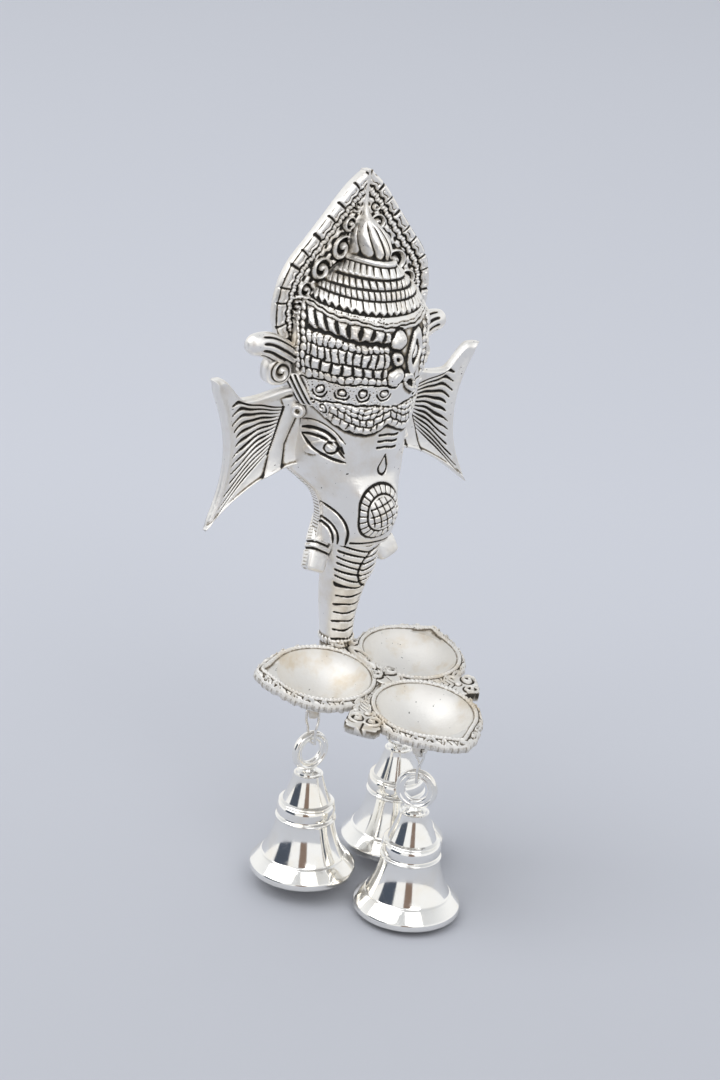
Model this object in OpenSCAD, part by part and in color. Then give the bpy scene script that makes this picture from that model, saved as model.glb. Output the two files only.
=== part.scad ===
// Hanging diya: an elephant-head wall mask whose trunk carries a tray of three
// oil bowls, with a bell hung under each bowl.
// The mask faces -Y and its back lies on the wall at y = 0. The origin is the
// centre of the nail hole in the hanger plate.

/* [Mask] */
// Height of the crown's point above the nail hole
crown_z = 37.5; // [30:0.5:50]
// Width of the crown at its shoulders
crown_w = 58.8; // [50:0.2:70]
// Width of the head at the brow
head_w = 44; // [38:0.5:50]
// Width of the jaw above the tusks
jaw_w = 25.4; // [22:0.2:30]
// How far the forehead stands out from the wall
face_depth = 27; // [22:0.5:32]
// Thickness of the cast wall
mask_wall = 3; // [2:0.1:4]
// Depth of the crown's flat border
border_depth = 3.2; // [2.6:0.1:4.4]
// How far the crown leans over to the right, at its point
crown_lean = 4.5; // [0:0.1:6]
// Height of the raised bands and tiers above the cap
band_lift = 1; // [0.4:0.1:1.4]
// Span from ear tip to ear tip
ear_span = 101; // [92:0.5:112]
// Thickness of an ear
ear_wall = 2.8; // [2:0.1:4]
// Span across the tips of the tusks
tusk_span = 38; // [34:0.5:44]
// How far a tusk's tip stands out from the wall
tusk_out = 15.6; // [13:0.2:18]
// How far a tusk reaches below the chin
tusk_drop = 10.5; // [8:0.5:13]
// Diameter of a tusk at its root
tusk_d = 9; // [7:0.2:11]
// Diameter of the trunk where it leaves the face
trunk_root_d = 20; // [17:0.5:24]
// Diameter of the trunk at its tip
trunk_tip_d = 11.2; // [10:0.2:13]

/* [Hanger] */
// Diameter of the nail hole
nail_d = 5; // [3:0.1:6]
// Length of the hanger plate
plate_l = 26; // [22:0.5:30]
// Height of the hanger plate
plate_h = 10; // [8:0.5:14]
// Thickness of the hanger plate
plate_t = 1.8; // [1.2:0.1:2.4]
// Distance between the two rivets
rivet_gap = 19; // [16:0.5:21]
// Shank diameter of a rivet
rivet_d = 2.8; // [2:0.1:3.4]
// How far a rivet reaches past the plate
rivet_grip = 5; // [4:0.5:6]

/* [Tray] */
// Distance from the nail hole down to the tray's centre
tray_drop = 118; // [112:0.5:126]
// Distance from the wall out to the tray's centre
tray_out = 36.6; // [35:0.2:42]
// How far the tray dips to the front, in degrees
tray_tilt = 7; // [0:0.5:12]
// Distance from the tray's centre to the middle of a bowl
bowl_out = 20.2; // [19.4:0.1:22]
// Width of a bowl's opening
bowl_d = 30; // [27:0.2:31]
// Depth of a bowl
bowl_deep = 9.5; // [8:0.1:11]
// Thickness of the bowl's wall
bowl_wall = 1.8; // [1.4:0.1:2.4]
// Width of the flat rim round a bowl
rim_w = 3.3; // [2.6:0.1:4]
// Thickness of the rim
rim_t = 2.4; // [2:0.1:3.2]
// Distance from the tray's centre to the point of a petal
petal_tip = 41.8; // [40:0.2:46]
// Distance from the tray's centre to the end of a lobe
lobe_out = 27.7; // [25:0.1:30]
// Distance from the tray's centre back to the trunk's foot
foot_out = 27.1; // [26:0.1:28]
// Width of the tongue that meets the trunk
tongue_w = 12.4; // [11:0.2:15]
// Thickness of the tongue
tongue_t = 4.2; // [3.4:0.1:5]
// Diameter of the tray screw
screw_d = 4; // [3:0.1:5]
// Length of the tray screw below its head
screw_l = 12; // [9:0.5:13]

/* [Links] */
// Diameter of the wire
wire_d = 0.9; // [0.7:0.05:1.2]
// Length of a link between its two straight runs
link_l = 11; // [10:0.1:15]
// Thickness of a lug along its bore
lug_t = 2.4; // [2:0.1:3.4]
// Height of the metal round a lug's bore
lug_d = 4.6; // [3.8:0.1:6]
// Drop from the rim to a lug's bore
lug_drop = 14; // [13.4:0.1:17]

/* [Bells] */
// Diameter of a bell's mouth
bell_d = 34.6; // [30:0.2:38]
// Height of a bell from its top to its lip
bell_h = 34.4; // [32:0.2:42]
// Diameter of a bell at its shoulder
shoulder_d = 15.6; // [14.4:0.2:18]
// Thickness of a bell's wall
bell_wall = 1.4; // [1:0.1:1.8]
// Gap between the mouths of two bells hanging still
bell_gap = 2.64; // [1.6:0.02:6]
// Diameter of the hole in a bell's ring
ring_hole_d = 7.2; // [6.4:0.1:9]
// Thickness of a ring, from its hole to its edge
ring_t = 3.2; // [2.4:0.1:4]
// Width of a ring along its axis
ring_w = 2.6; // [2:0.1:3.4]
// Thickness of the foot under a ring
foot_t = 1.4; // [1:0.1:2]
// How deep a ring sinks into its foot
ring_sink = 0.45; // [0.3:0.05:0.6]
// Thickness of a bell's top
crown_t = 3.2; // [2.6:0.1:4]
// Diameter of a loop's stem
stem_d = 4; // [3:0.1:4.4]
// Thickness of the flat eye at the stem's end
eye_t = 2; // [1.6:0.1:2.4]
// Distance from the nut down to the eye's middle
eye_drop = 3.2; // [2.8:0.1:4]
// Height of the nut inside a bell
nut_h = 2.4; // [1.8:0.1:3]
// Width of the nut across its flats
nut_w = 6.6; // [6:0.1:7]

/* [Clappers] */
// Diameter of a clapper's ball
ball_d = 9; // [7:0.2:10]
// Distance from a clapper's pin to the middle of its ball
clapper_l = 19; // [16:0.2:20]
// Diameter of a clapper's pin
pin_d = 1; // [0.8:0.05:1.4]

/* [Clearances] */
// Gap between a wire and what it hangs in
play = 0.3; // [0.2:0.05:0.4]
// Gap round a fastener in its hole
hole_play = 0.2; // [0.1:0.05:0.3]

/* [Hidden] */
$fn = 64;

// How far a cut runs past the metal it cuts
over = 1;

// Rivets that hold the hanger plate, and the posts cast for them
rivet_l = plate_t + rivet_grip;
rivet_head_d = rivet_d * 1.7;
rivet_head_h = plate_t * 0.6;
post_d = rivet_d + 3.2;
post_sides = 20;

// Heights on the mask, measured from the nail hole
shoulder_z = -6;
ear_top_z = -21.5;
ear_low_z = -69.5;
cheek_z = -64;
chin_z = -76;
// Height at a share of the way from the crown's shoulder to its point
function crown_at(share) = shoulder_z + (crown_z - shoulder_z) * share;

// Mask outline from the front, as [height, half width], from the chin up
head_outline = [
    [chin_z - 1, jaw_w / 2 + 1.9],
    [chin_z + 3, jaw_w / 2 + 0.7],
    [cheek_z - 3, jaw_w / 2],
    [cheek_z + 2, jaw_w / 2 + 1.1],
    [cheek_z + 5.5, head_w / 2 - 5.4],
    [cheek_z + 9.5, head_w / 2 - 1.8],
    [cheek_z + 14, head_w / 2 - 0.8],
    [-39, head_w / 2 - 1.5],
    [-27, head_w / 2],
    [shoulder_z - 9, crown_w / 2 - 3],
    [shoulder_z, crown_w / 2],
    [crown_at(0.23), crown_w / 2 * 0.97],
    [crown_at(0.39), crown_w / 2 * 0.86],
    [crown_at(0.54), crown_w / 2 * 0.67],
    [crown_at(0.69), crown_w / 2 * 0.48],
    [crown_at(0.85), crown_w / 2 * 0.28],
    [crown_at(0.93), crown_w / 2 * 0.155],
    [crown_z, 0.4],
];

// How far the casting's edge stands out, as [height, depth]: the jaw is cut away behind
rim_line = [
    [chin_z - 1, border_depth + 10.2],
    [chin_z + 3, border_depth + 9.4],
    [cheek_z - 3, border_depth + 8.2],
    [cheek_z + 2, border_depth + 6.4],
    [cheek_z + 5.5, border_depth + 4.2],
    [cheek_z + 9.5, border_depth + 1.8],
    [cheek_z + 14, border_depth + 0.4],
    [cheek_z + 18, border_depth],
    [crown_z, border_depth],
];

// How far the middle of the face stands out, as [height, depth]
face_line = [
    [chin_z - 1, face_depth - 2.6],
    [chin_z + 4, face_depth + 0.4],
    [cheek_z - 2, face_depth + 2.2],
    [cheek_z + 3, face_depth + 0.6],
    [cheek_z + 7, face_depth - 1.8],
    [cheek_z + 11, face_depth - 3.2],
    [-48, face_depth - 2.4],
    [-38, face_depth - 1.2],
    [-20, face_depth],
    [-8, face_depth - 1],
    [crown_at(0.05), face_depth - 2.4],
    [crown_at(0.14), face_depth - 3.6],
    [crown_at(0.23), face_depth - 5],
    [crown_at(0.3), face_depth - 6.4],
    [crown_at(0.4), border_depth + 15.4],
    [crown_at(0.43), border_depth + 13.6],
    [crown_at(0.48), border_depth + 14],
    [crown_at(0.55), border_depth + 12.4],
    [crown_at(0.61), border_depth + 9.4],
    [crown_at(0.655), border_depth + 5.4],
    [crown_at(0.7), border_depth + 1.8],
    [crown_at(0.77), border_depth + 0.4],
    [crown_z, border_depth],
];

// Half width of the raised head, of the tiers and of the finial, as [height, half width]
dome_outline = [
    [chin_z - 1, jaw_w / 2 - 0.3],
    [chin_z + 3, jaw_w / 2 - 0.3],
    [cheek_z - 3, jaw_w / 2 - 0.7],
    [cheek_z + 2, jaw_w / 2 + 0.3],
    [cheek_z + 5.5, head_w / 2 - 6.2],
    [cheek_z + 9.5, head_w / 2 - 2.6],
    [cheek_z + 14, head_w / 2 - 1.6],
    [-39, head_w / 2 - 2.3],
    [-27, head_w / 2],
    [-14, head_w / 2 + 1.4],
    [shoulder_z, head_w / 2 + 0.4],
    [crown_at(0.14), head_w / 2 - 3],
    [crown_at(0.23), head_w / 2 - 6.2],
    [crown_at(0.3), head_w / 2 - 10.6],
    [crown_at(0.38), 6.6],
    [crown_at(0.44), 4.6],
    [crown_at(0.51), 4.9],
    [crown_at(0.575), 4.4],
    [crown_at(0.655), 2.2],
    [crown_at(0.7), 1],
    [crown_z, 0.4],
];

// Brow edge of the cap, as [share of the half width, height]
brow_line = [[0, -36.6], [0.3, -39.2], [0.52, -38.2], [0.72, -34.8], [0.86, -31.6], [1, -29.6]];

// Rows of the cap and crown, as [height at the middle, height at the sides, share of the lift]:
// brow band, five rows of beads and blocks, the double band, the tiers and the finial's ring
relief_rows = [
    [-30.2, -28, 0.6], [-29.8, -27.4, 0.1], [-29.4, -27, 0.5], [-23.5, -23.1, 0.5],
    [-23.1, -22.7, 0.1], [-22.7, -22.3, 0.8], [-21.2, -20.2, 0.8],
    [-20.9, -19.9, 0], [-20.6, -19.5, 1], [-18.5, -16.6, 1],
    [-18.2, -16.2, 0], [-17.9, -15.8, 0.9], [-13.9, -12, 0.9],
    [-13.5, -11.5, 0], [-13.1, -10.9, 0.9], [-11.9, -7.8, 0.9],
    [-11.5, -7.2, 0], [-10.6, -6, 0], [-10.2, -5.4, 1], [-7.9, -1.8, 1],
    [-7.5, -1.4, 0], [-7.1, -0.8, 0.7], [-5.2, 1.2, 0.7],
    [-4.8, 1.7, 0], [-2.8, 2.4, 0], [-2.4, 2.7, 1.2], [1.3, 3.4, 0.4],
    [1.5, 3.6, 0], [1.8, 3.9, 0.8], [4.4, 5.1, 0.5],
    [4.6, 5.3, 0], [4.9, 5.6, 0.8], [7.4, 7.4, 0.5],
    [7.6, 7.6, 0], [7.9, 7.9, 0.9], [10.6, 10.6, 0.2],
    [10.9, 10.9, 0], [11.2, 11.2, 1], [12, 12, 1], [12.4, 12.4, 0],
];
// Plain rows below the brow and, as shares of the crown's height, above the ring
face_step = 3;
face_rows = [for (i = [0:10]) chin_z - 1 + i * face_step];
finial_shares = [0.45, 0.49, 0.53, 0.575, 0.61, 0.645, 0.67, 0.7, 0.76, 0.84, 0.91, 0.96, 1];
finial_rows = [for (t = finial_shares) crown_at(t)];
// Crown height above the shoulder that the rows are drawn for, and a row's height on this crown
drawn_crown = 43.5;
function on_crown(z) = z > shoulder_z ? crown_at((z - shoulder_z) / drawn_crown) : z;
// Jewels down the middle of the cap, as [height, diameter]
jewels = [[-9.6, 5.4], [-15.4, 4.4], [-21.2, 5.6]];

// The trunk's middle line, as [x, y, z], with its diameter at each point
trunk_foot = [0, -tray_out + foot_out * cos(tray_tilt), -tray_drop + foot_out * sin(tray_tilt)];
function trunk_z(share) = chin_z + (trunk_foot.z - chin_z) * share;
trunk_path = [
    [[0, -face_depth + trunk_root_d / 2 + 2.5, chin_z + 8], trunk_root_d],
    [[0, -face_depth + trunk_root_d / 2 + 3.2, chin_z], trunk_root_d],
    [[0, -face_depth + trunk_root_d / 2 + 4, trunk_z(0.18)], trunk_root_d - 2],
    [[0, trunk_foot.y - 2.3, trunk_z(0.31)], trunk_root_d - 3.2],
    [[0, trunk_foot.y - 1.4, trunk_z(0.41)], trunk_root_d - 4.2],
    [[0, trunk_foot.y, trunk_z(0.59)], trunk_root_d - 5.8],
    [[0, trunk_foot.y + 0.6, trunk_z(0.83)], trunk_tip_d + 1],
    [trunk_foot, trunk_tip_d],
    [trunk_foot - [0, 0, 4 * over], trunk_tip_d],
];

// Sphere sizes of a bowl and of its spout, and rounding of the rims
bowl_r = (pow(bowl_d / 2, 2) + pow(bowl_deep, 2)) / (2 * bowl_deep);
bowl_up = bowl_r - bowl_deep;
petal_r = bowl_d / 2 + rim_w;
petal_end_r = 2.5;
lobe_r = 5;
spout_deep = 3.5;
spout_open = 6.5;
spout_r = (pow(spout_open, 2) + pow(spout_deep, 2)) / (2 * spout_deep);
spout_out = petal_tip - spout_open - 3.8;
screw_head_d = screw_d * 1.8;
screw_head_h = screw_d * 0.6;

// The three hanging places: direction of the lug from the tray's centre, and
// direction of the ring's axis, both in degrees about Z
lug_turn = [150, 270, 30];
ring_turn = [90, 220, 90];
lug_out = (bell_d + bell_gap) / sqrt(3);
lug_wide = 9;

// Sizes along a link, from the lug's bore down
run_top = lug_t + 2 * play + wire_d;
run_low = ring_w + 2 * play + wire_d;
straight_top = 1.6;
straight_low = ring_t + 1.2;
link_steps = 14;
wire_sides = 8;
strand_d = wire_d * 0.9;

// Heights on a bell, measured down from the low run of its link
ring_mid = ring_hole_d / 2 - wire_d / 2 - play;
ring_r = ring_hole_d / 2 + ring_t;
foot_d = stem_d + 4.4;
bell_top = ring_mid + ring_r - ring_sink + foot_t;
nut_top = bell_top + crown_t;
pin_drop = nut_top + nut_h + eye_drop;
eye_d = pin_d + 2 * play;
pin_l = eye_t + 2 * play + pin_d;

// Points on a bell's outer side, as [half width, distance below its top]
neck_end = bell_h * 0.28;
band_end = bell_h * 0.47;
waist_end = bell_h * 0.83;
skirt_end = bell_h - 2;
waist_r = bell_d / 2 - 4;
band_r = shoulder_d / 2 + 1.8;

function mix(a, b, t) = a + (b - a) * t;
function ease(t) = let (c = min(1, max(0, t))) c * c * (3 - 2 * c);
function step_of(list, v) = max([for (i = [0:len(list) - 2]) list[i][0] <= v ? i : 0]);
function slope(list, i) =
    let (a = max(0, i - 1), b = min(len(list) - 1, i + 1))
    (list[b][1] - list[a][1]) / (list[b][0] - list[a][0]);
// Value of a smooth curve through the points of a list
function curve(list, v) =
    let (i = step_of(list, v), h = list[i + 1][0] - list[i][0],
         t = min(1, max(0, (v - list[i][0]) / h)))
    (2 * t * t * t - 3 * t * t + 1) * list[i][1] + (t * t * t - 2 * t * t + t) * h * slope(list, i)
    + (3 * t * t - 2 * t * t * t) * list[i + 1][1] + (t * t * t - t * t) * h * slope(list, i + 1);

// Bulge of a rounded section: 1 in the middle, 0 at the edge
function bulge(x, half) = abs(x) >= half ? 0 : pow(1 - pow(abs(x) / half, 2.4), 0.6);
function front_depth(x, z) =
    let (rim = curve(rim_line, z))
    rim + (curve(face_line, z) - rim) * bulge(x, curve(dome_outline, z));
function edge_back(z) = max(0, curve(rim_line, z) - border_depth);
function hollow_half(z) = max(0.5, curve(dome_outline, z) - mask_wall);
// The hollow's section is squarer than the face's, so that the wall stays even
function hollow_bulge(x, half) = abs(x) >= half ? 0 : sqrt(1 - pow(abs(x) / half, 4));
function hollow_depth(x, z) =
    min(front_depth(x, z) - mask_wall * 0.8,
        (curve(face_line, z) - mask_wall) * hollow_bulge(x, hollow_half(z)));
// Sideways lean of the crown and of the jaw at a height
jaw_shift = 0.8;
function lean(z) =
    crown_lean * pow(max(0, (z + 50) / (crown_z + 50)), 1.2)
    + jaw_shift * exp(-pow((z - cheek_z + 2) / 8, 2));

// Place on the tray, given in the tray's own plane
function tray_point(p) = [
    p.x,
    p.y * cos(tray_tilt) - p.z * sin(tray_tilt) - tray_out,
    p.y * sin(tray_tilt) + p.z * cos(tray_tilt) - tray_drop,
];
function lug_point(k) = tray_point([lug_out * cos(lug_turn[k]), lug_out * sin(lug_turn[k]), -lug_drop]);
function bell_point(k) = lug_point(k) - [0, 0, link_l];

// Closed solid between two grids of points with the same rows and columns
module sheet_solid(front, back) {
    rows = len(front);
    cols = len(front[0]);
    n = rows * cols;
    points = concat([for (r = front) each r], [for (r = back) each r]);
    function at(i, j) = i * cols + j;
    faces = concat(
        [for (i = [0:rows - 2], j = [0:cols - 2]) each [
            [at(i, j), at(i + 1, j), at(i + 1, j + 1)],
            [at(i, j), at(i + 1, j + 1), at(i, j + 1)],
            [n + at(i, j), n + at(i + 1, j + 1), n + at(i + 1, j)],
            [n + at(i, j), n + at(i, j + 1), n + at(i + 1, j + 1)],
        ]],
        [for (i = [0:rows - 2]) each [
            [at(i, 0), n + at(i, 0), n + at(i + 1, 0)],
            [at(i, 0), n + at(i + 1, 0), at(i + 1, 0)],
            [at(i, cols - 1), n + at(i + 1, cols - 1), n + at(i, cols - 1)],
            [at(i, cols - 1), at(i + 1, cols - 1), n + at(i + 1, cols - 1)],
        ]],
        [for (j = [0:cols - 2]) each [
            [at(0, j), n + at(0, j + 1), n + at(0, j)],
            [at(0, j), at(0, j + 1), n + at(0, j + 1)],
            [at(rows - 1, j), n + at(rows - 1, j), n + at(rows - 1, j + 1)],
            [at(rows - 1, j), n + at(rows - 1, j + 1), at(rows - 1, j + 1)],
        ]]
    );
    polyhedron(points, faces, convexity = 8);
}

// Closed solid behind a grid of points, with a plain back from edge to edge
module backed_solid(front, back_y) {
    rows = len(front);
    cols = len(front[0]);
    n = rows * cols;
    edges = [for (r = front) each [for (p = [r[0], r[cols - 1]]) [p.x, back_y(p.z), p.z]]];
    low_mid = (edges[0] + edges[1]) / 2;
    mid = n + 2 * rows;
    function at(i, j) = i * cols + j;
    function left(i) = n + 2 * i;
    function right(i) = n + 2 * i + 1;
    faces = concat(
        [for (i = [0:rows - 2], j = [0:cols - 2]) each [
            [at(i, j), at(i + 1, j), at(i + 1, j + 1)],
            [at(i, j), at(i + 1, j + 1), at(i, j + 1)],
        ]],
        [[left(0), mid, right(1)], [mid, right(0), right(1)]],
        [for (i = [1:rows - 2]) [left(i), right(i), right(i + 1)]],
        [for (i = [0:rows - 2]) each [
            [left(i), right(i + 1), left(i + 1)],
            [at(i, 0), left(i), left(i + 1)],
            [at(i, 0), left(i + 1), at(i + 1, 0)],
            [at(i, cols - 1), right(i + 1), right(i)],
            [at(i, cols - 1), at(i + 1, cols - 1), right(i + 1)],
        ]],
        [for (j = [0:cols - 2]) [at(0, j), at(0, j + 1), mid]],
        [[left(0), at(0, 0), mid], [at(0, cols - 1), right(0), mid]],
        [concat([left(rows - 1), right(rows - 1)], [for (j = [cols - 1:-1:0]) at(rows - 1, j)])]
    );
    polyhedron(concat([for (r = front) each r], edges, [low_mid]), faces, convexity = 8);
}

// Closed tube through a list of rings of points
module tube_solid(rings) {
    rows = len(rings);
    sides = len(rings[0]);
    last = (rows - 1) * sides;
    function at(i, j) = i * sides + j % sides;
    faces = concat(
        [for (i = [0:rows - 2], j = [0:sides - 1]) each [
            [at(i, j), at(i, j + 1), at(i + 1, j + 1)],
            [at(i, j), at(i + 1, j + 1), at(i + 1, j)],
        ]],
        [for (j = [1:sides - 2]) [0, j + 1, j]],
        [for (j = [1:sides - 2]) [last, last + j, last + j + 1]]
    );
    polyhedron([for (r = rings) each r], faces, convexity = 6);
}

// Head and crown, with a raised border, bands and tiers in front
dome_cols = 16;
border_w = 4.4;
border_lift = 0.7;
function head_edge(z) = max(curve(head_outline, z), curve(dome_outline, z) + 0.8);
// A column's half width: up to 1 it is a share of the dome, past 1 it lies in the border
function column_x(c, z) =
    let (dome = curve(dome_outline, z), edge = head_edge(z), strip = min(border_w, (edge - dome) * 0.7))
    c <= 1 ? dome * sin(90 * c)
    : c == 2 ? edge - strip - 0.2
    : c == 3 ? edge - strip + 0.2
    : c == 4 ? edge - strip * 0.2
    : edge;
function column_lift(c, z) =
    c == 3 || c == 4 ? border_lift * ease((head_edge(z) - curve(dome_outline, z) - 2.4) / 3) : 0;
columns = concat(
    [-5, -4, -3, -2],
    [for (j = [-dome_cols / 2:dome_cols / 2]) j * 2 / dome_cols],
    [2, 3, 4, 5]
);
function head_point(c, z, lift) =
    let (x = column_x(abs(c), z), flat = abs(c) > 1 ? 0 : ease(2.5 * (1 - abs(c))))
    [sign(c) * x + lean(z), -front_depth(x, z) - lift * band_lift * flat - column_lift(abs(c), z), z];
function brow_z(c) = curve(brow_line, min(1, abs(c)));
face_top = face_rows[len(face_rows) - 1];
function row_z(row, c) = mix(on_crown(row[0]), on_crown(row[1]), pow(min(1, abs(c)), 1.6));
head_rows = concat(
    [for (z = face_rows) [for (c = columns) head_point(c, z, 0)]],
    [for (t = [0.35, 0.7, 1]) [for (c = columns) head_point(c, mix(face_top, brow_z(c), t), 0)]],
    [[for (c = columns) head_point(c, brow_z(c) + 0.4, 0.7)]],
    [for (row = relief_rows) [for (c = columns) head_point(c, row_z(row, c), row[2])]],
    [for (z = finial_rows) [for (c = columns) head_point(c, z, 0)]]
);
module head_shell() {
    difference() {
        backed_solid(head_rows, function (z) -edge_back(z));
        head_hollow();
    }
}

// The hollow of the head, open to the wall
hollow_steps = 22;
hollow_cols = 12;
hollow_lip = 0.6;
hollow_low = chin_z + 3;
hollow_high = crown_at(0.6);
module head_hollow() {
    zs = [for (i = [0:hollow_steps]) mix(hollow_low, hollow_high, i / hollow_steps)];
    function half(z, j) = hollow_half(z) * sin(mix(-90, 90, j / hollow_cols));
    sheet_solid(
        [for (z = zs) [for (j = [0:hollow_cols]) let (x = half(z, j))
            [x + lean(z), -max(hollow_lip, hollow_depth(x, z)), z]]],
        [for (z = zs) [for (j = [0:hollow_cols]) [half(z, j) + lean(z), over, z]]]
    );
}

// One ear, on the +X side: a thin flared leaf with a raised edge and blunt corners
ear_in = head_w / 2 - 3.4;
ear_steps = 12;
ear_sunk = 0.5;
ear_waist = 5.4;
ear_flare = 3;
ear_blunt = 0.055;
function near_corner(u, v) = exp(-pow((1 - u) / 0.07, 2) - pow(min(v, 1 - v) / 0.06, 2));
function ear_x(u, v) =
    mix(ear_in, ear_span / 2 - ear_waist + (ear_waist + ear_flare) * pow(2 * v - 1, 2), u);
function ear_top(u) = ear_top_z - mix(5.9, 8.1, ease(u / 0.6)) + 9.8 * pow(max(0, (u - 0.55) / 0.45), 2);
function ear_low(u) = ear_low_z - 1.6 + 18.2 * (1 - pow(u, 1.7));
function ear_depth(u, v) =
    5 + 1.2 * pow(abs(2 * v - 1), 3) + 1.2 * pow(u, 4) + 2 * pow(1 - u, 3);
function ear_point(u, v, back) =
    let (pull = ear_blunt * near_corner(u, v), a = max(0, u - pull), b = v + sign(0.5 - v) * pull,
         sunk = u > 0.35 && u < 0.9 && v > 0.1 && v < 0.85 ? ear_sunk : 0)
    [ear_x(a, b), (back ? ear_wall : sunk) - ear_depth(a, b), mix(ear_low(a), ear_top(a), b)];
module ear() {
    steps = [for (i = [0:ear_steps]) i / ear_steps];
    sheet_solid(
        [for (v = steps) [for (u = steps) ear_point(u, v, false)]],
        [for (v = steps) [for (u = steps) ear_point(u, v, true)]]
    );
}

module ball_at(p, d) {
    translate(p)
        sphere(d = d, $fn = 16);
}

// One tusk stub, on the +X side: a tapered horn through its root, knee and flat end
tusk_sides = 10;
knee_d = tusk_d * 0.78;
tusk_end_d = tusk_d * 0.54;
tusk_root = [jaw_w / 2 - 3, -tusk_out * 0.72, chin_z + tusk_d * 0.55];
tusk_path = [
    [tusk_root + [-0.6, 0.4, tusk_d * 0.4], tusk_d * 0.6],
    [tusk_root, tusk_d],
    [[jaw_w / 2 - 0.25, -tusk_out * 0.86, chin_z - tusk_drop * 0.24], knee_d],
    [[tusk_span / 2 - tusk_end_d / 2, -tusk_out, chin_z - tusk_drop], tusk_end_d],
];
module tusk() {
    tube_solid([for (p = tusk_path) [for (j = [0:tusk_sides - 1])
        p[0] + p[1] / 2 * [cos(360 * j / tusk_sides), sin(360 * j / tusk_sides), 0]]]);
}

// One side ornament of the crown, on the +X side: a leaf turned outwards over a scroll
module side_lobe() {
    root = [crown_w / 2 - 5.4, -4, shoulder_z - 11.5];
    bend = [crown_w / 2 + 0.6, -4.6, shoulder_z - 7.8];
    tip = [crown_w / 2 + 7.4, -3.8, shoulder_z - 6.6];
    scroll = [crown_w / 2 - 4.9, -6, shoulder_z - 16.3];
    hull() {
        ball_at(root, 7.4);
        ball_at(bend, 7);
    }
    hull() {
        ball_at(bend, 7);
        ball_at(tip, 4.6);
    }
    hull() {
        ball_at(root, 7.4);
        ball_at(scroll, 8.4);
    }
}

// One jewel in the middle of the cap
module jewel(z, d) {
    translate([lean(z), -front_depth(0, z), z])
        scale([1, 0.6, 1])
            sphere(d = d, $fn = 16);
}

trunk_sides = 18;
module trunk() {
    tube_solid([for (p = trunk_path) [for (j = [0:trunk_sides - 1])
        p[0] + p[1] / 2 * [cos(360 * j / trunk_sides), sin(360 * j / trunk_sides), 0]]]);
}

module in_tray_plane() {
    translate([0, -tray_out, -tray_drop])
        rotate([tray_tilt, 0, 0])
            children();
}

// Post for a rivet, which runs from the plate into the wall beside it
module rivet_post(side) {
    outer_x = rivet_gap / 2 + post_d / 2 - side * lean(0);
    translate([side * rivet_gap / 2, -plate_t, 0])
        rotate([90, 0, 0])
            cylinder(d = post_d, h = front_depth(outer_x, 0) - plate_t - mask_wall * 0.2, $fn = post_sides);
}

// The whole casting: crown, head, ears, tusks, trunk and rivet posts
module mask() {
    color("silver")
    difference() {
        union() {
            head_shell();
            trunk();
            for (side = [0, 1])
                mirror([side, 0, 0]) {
                    ear();
                    tusk();
                    side_lobe();
                }
            for (side = [-1, 1])
                rivet_post(side);
            for (j = jewels)
                jewel(j[0], j[1]);
        }
        in_tray_plane() {
            translate([-trunk_root_d, foot_out - trunk_root_d, -2 * trunk_root_d])
                cube(2 * trunk_root_d);
            translate([0, foot_out, -over])
                cylinder(d = screw_d / cos(180 / post_sides), h = screw_l - tongue_t + 2 * over,
                    $fn = post_sides);
        }
        translate([-plate_l / 2 - play, -plate_t, -plate_h / 2 - play])
            cube([plate_l + 2 * play, plate_t + over, plate_h + 2 * play]);
        for (side = [-1, 1])
            translate([side * rivet_gap / 2, over, 0])
                rotate([90, 0, 0])
                    cylinder(d = rivet_d / cos(180 / post_sides), h = rivet_l + 2 * over, $fn = post_sides);
    }
}

// Strip across the hollow back, with the nail hole in its middle
module hanger_plate() {
    color("lightgray")
    difference() {
        translate([-plate_l / 2, -plate_t, -plate_h / 2])
            cube([plate_l, plate_t, plate_h]);
        rotate([90, 0, 0])
            translate([0, 0, -over])
                cylinder(d = nail_d, h = plate_t + 2 * over);
        for (side = [-1, 1])
            translate([side * rivet_gap / 2, 0, 0])
                rotate([90, 0, 0]) {
                    translate([0, 0, -over])
                        cylinder(d = rivet_d, h = plate_t + 2 * over);
                    cylinder(d1 = rivet_head_d, d2 = rivet_d, h = rivet_head_h);
                }
    }
}

// Two countersunk rivets, heads flush with the back of the plate
module hanger_rivets() {
    color("gainsboro")
    for (side = [-1, 1])
        translate([side * rivet_gap / 2, 0, 0])
            rotate([90, 0, 0]) {
                cylinder(d1 = rivet_head_d, d2 = rivet_d, h = rivet_head_h);
                cylinder(d = rivet_d, h = rivet_l);
            }
}

// Outline of the rims from above: three round bowl ends drawn out to blunt points,
// joined by two lobes, by the tongue and by the middle
function ray_circle(away, r, turn) =
    abs(away * sin(turn)) > r || cos(turn) < 0 ? 0
    : away * cos(turn) + sqrt(r * r - pow(away * sin(turn), 2));
function ray_petal(turn) =
    let (reach = petal_tip - petal_end_r - bowl_out,
         slant = acos((petal_r - petal_end_r) / reach),
         side = abs(turn),
         flank = (bowl_out * cos(slant) + petal_r) / cos(side - slant),
         on_flank = flank * cos(side) > bowl_out + petal_r * cos(slant)
            && flank * cos(side) < bowl_out + reach + petal_end_r * cos(slant))
    on_flank ? flank
    : max(ray_circle(bowl_out, petal_r, side), ray_circle(bowl_out + reach, petal_end_r, side));
function near_turn(a) = a - 360 * round(a / 360);
function rim_reach(a) = max(concat(
    [for (turn = lug_turn) let (d = near_turn(a - turn)) abs(d) < 75 ? ray_petal(d) : 0],
    [for (turn = [210, 330]) ray_circle(lobe_out - lobe_r, lobe_r, near_turn(a - turn))],
    [ray_circle(foot_out, tongue_w / 2, near_turn(a - 90)), bowl_out - bowl_d / 2 + rim_w]
));
rim_steps = 120;
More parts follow.
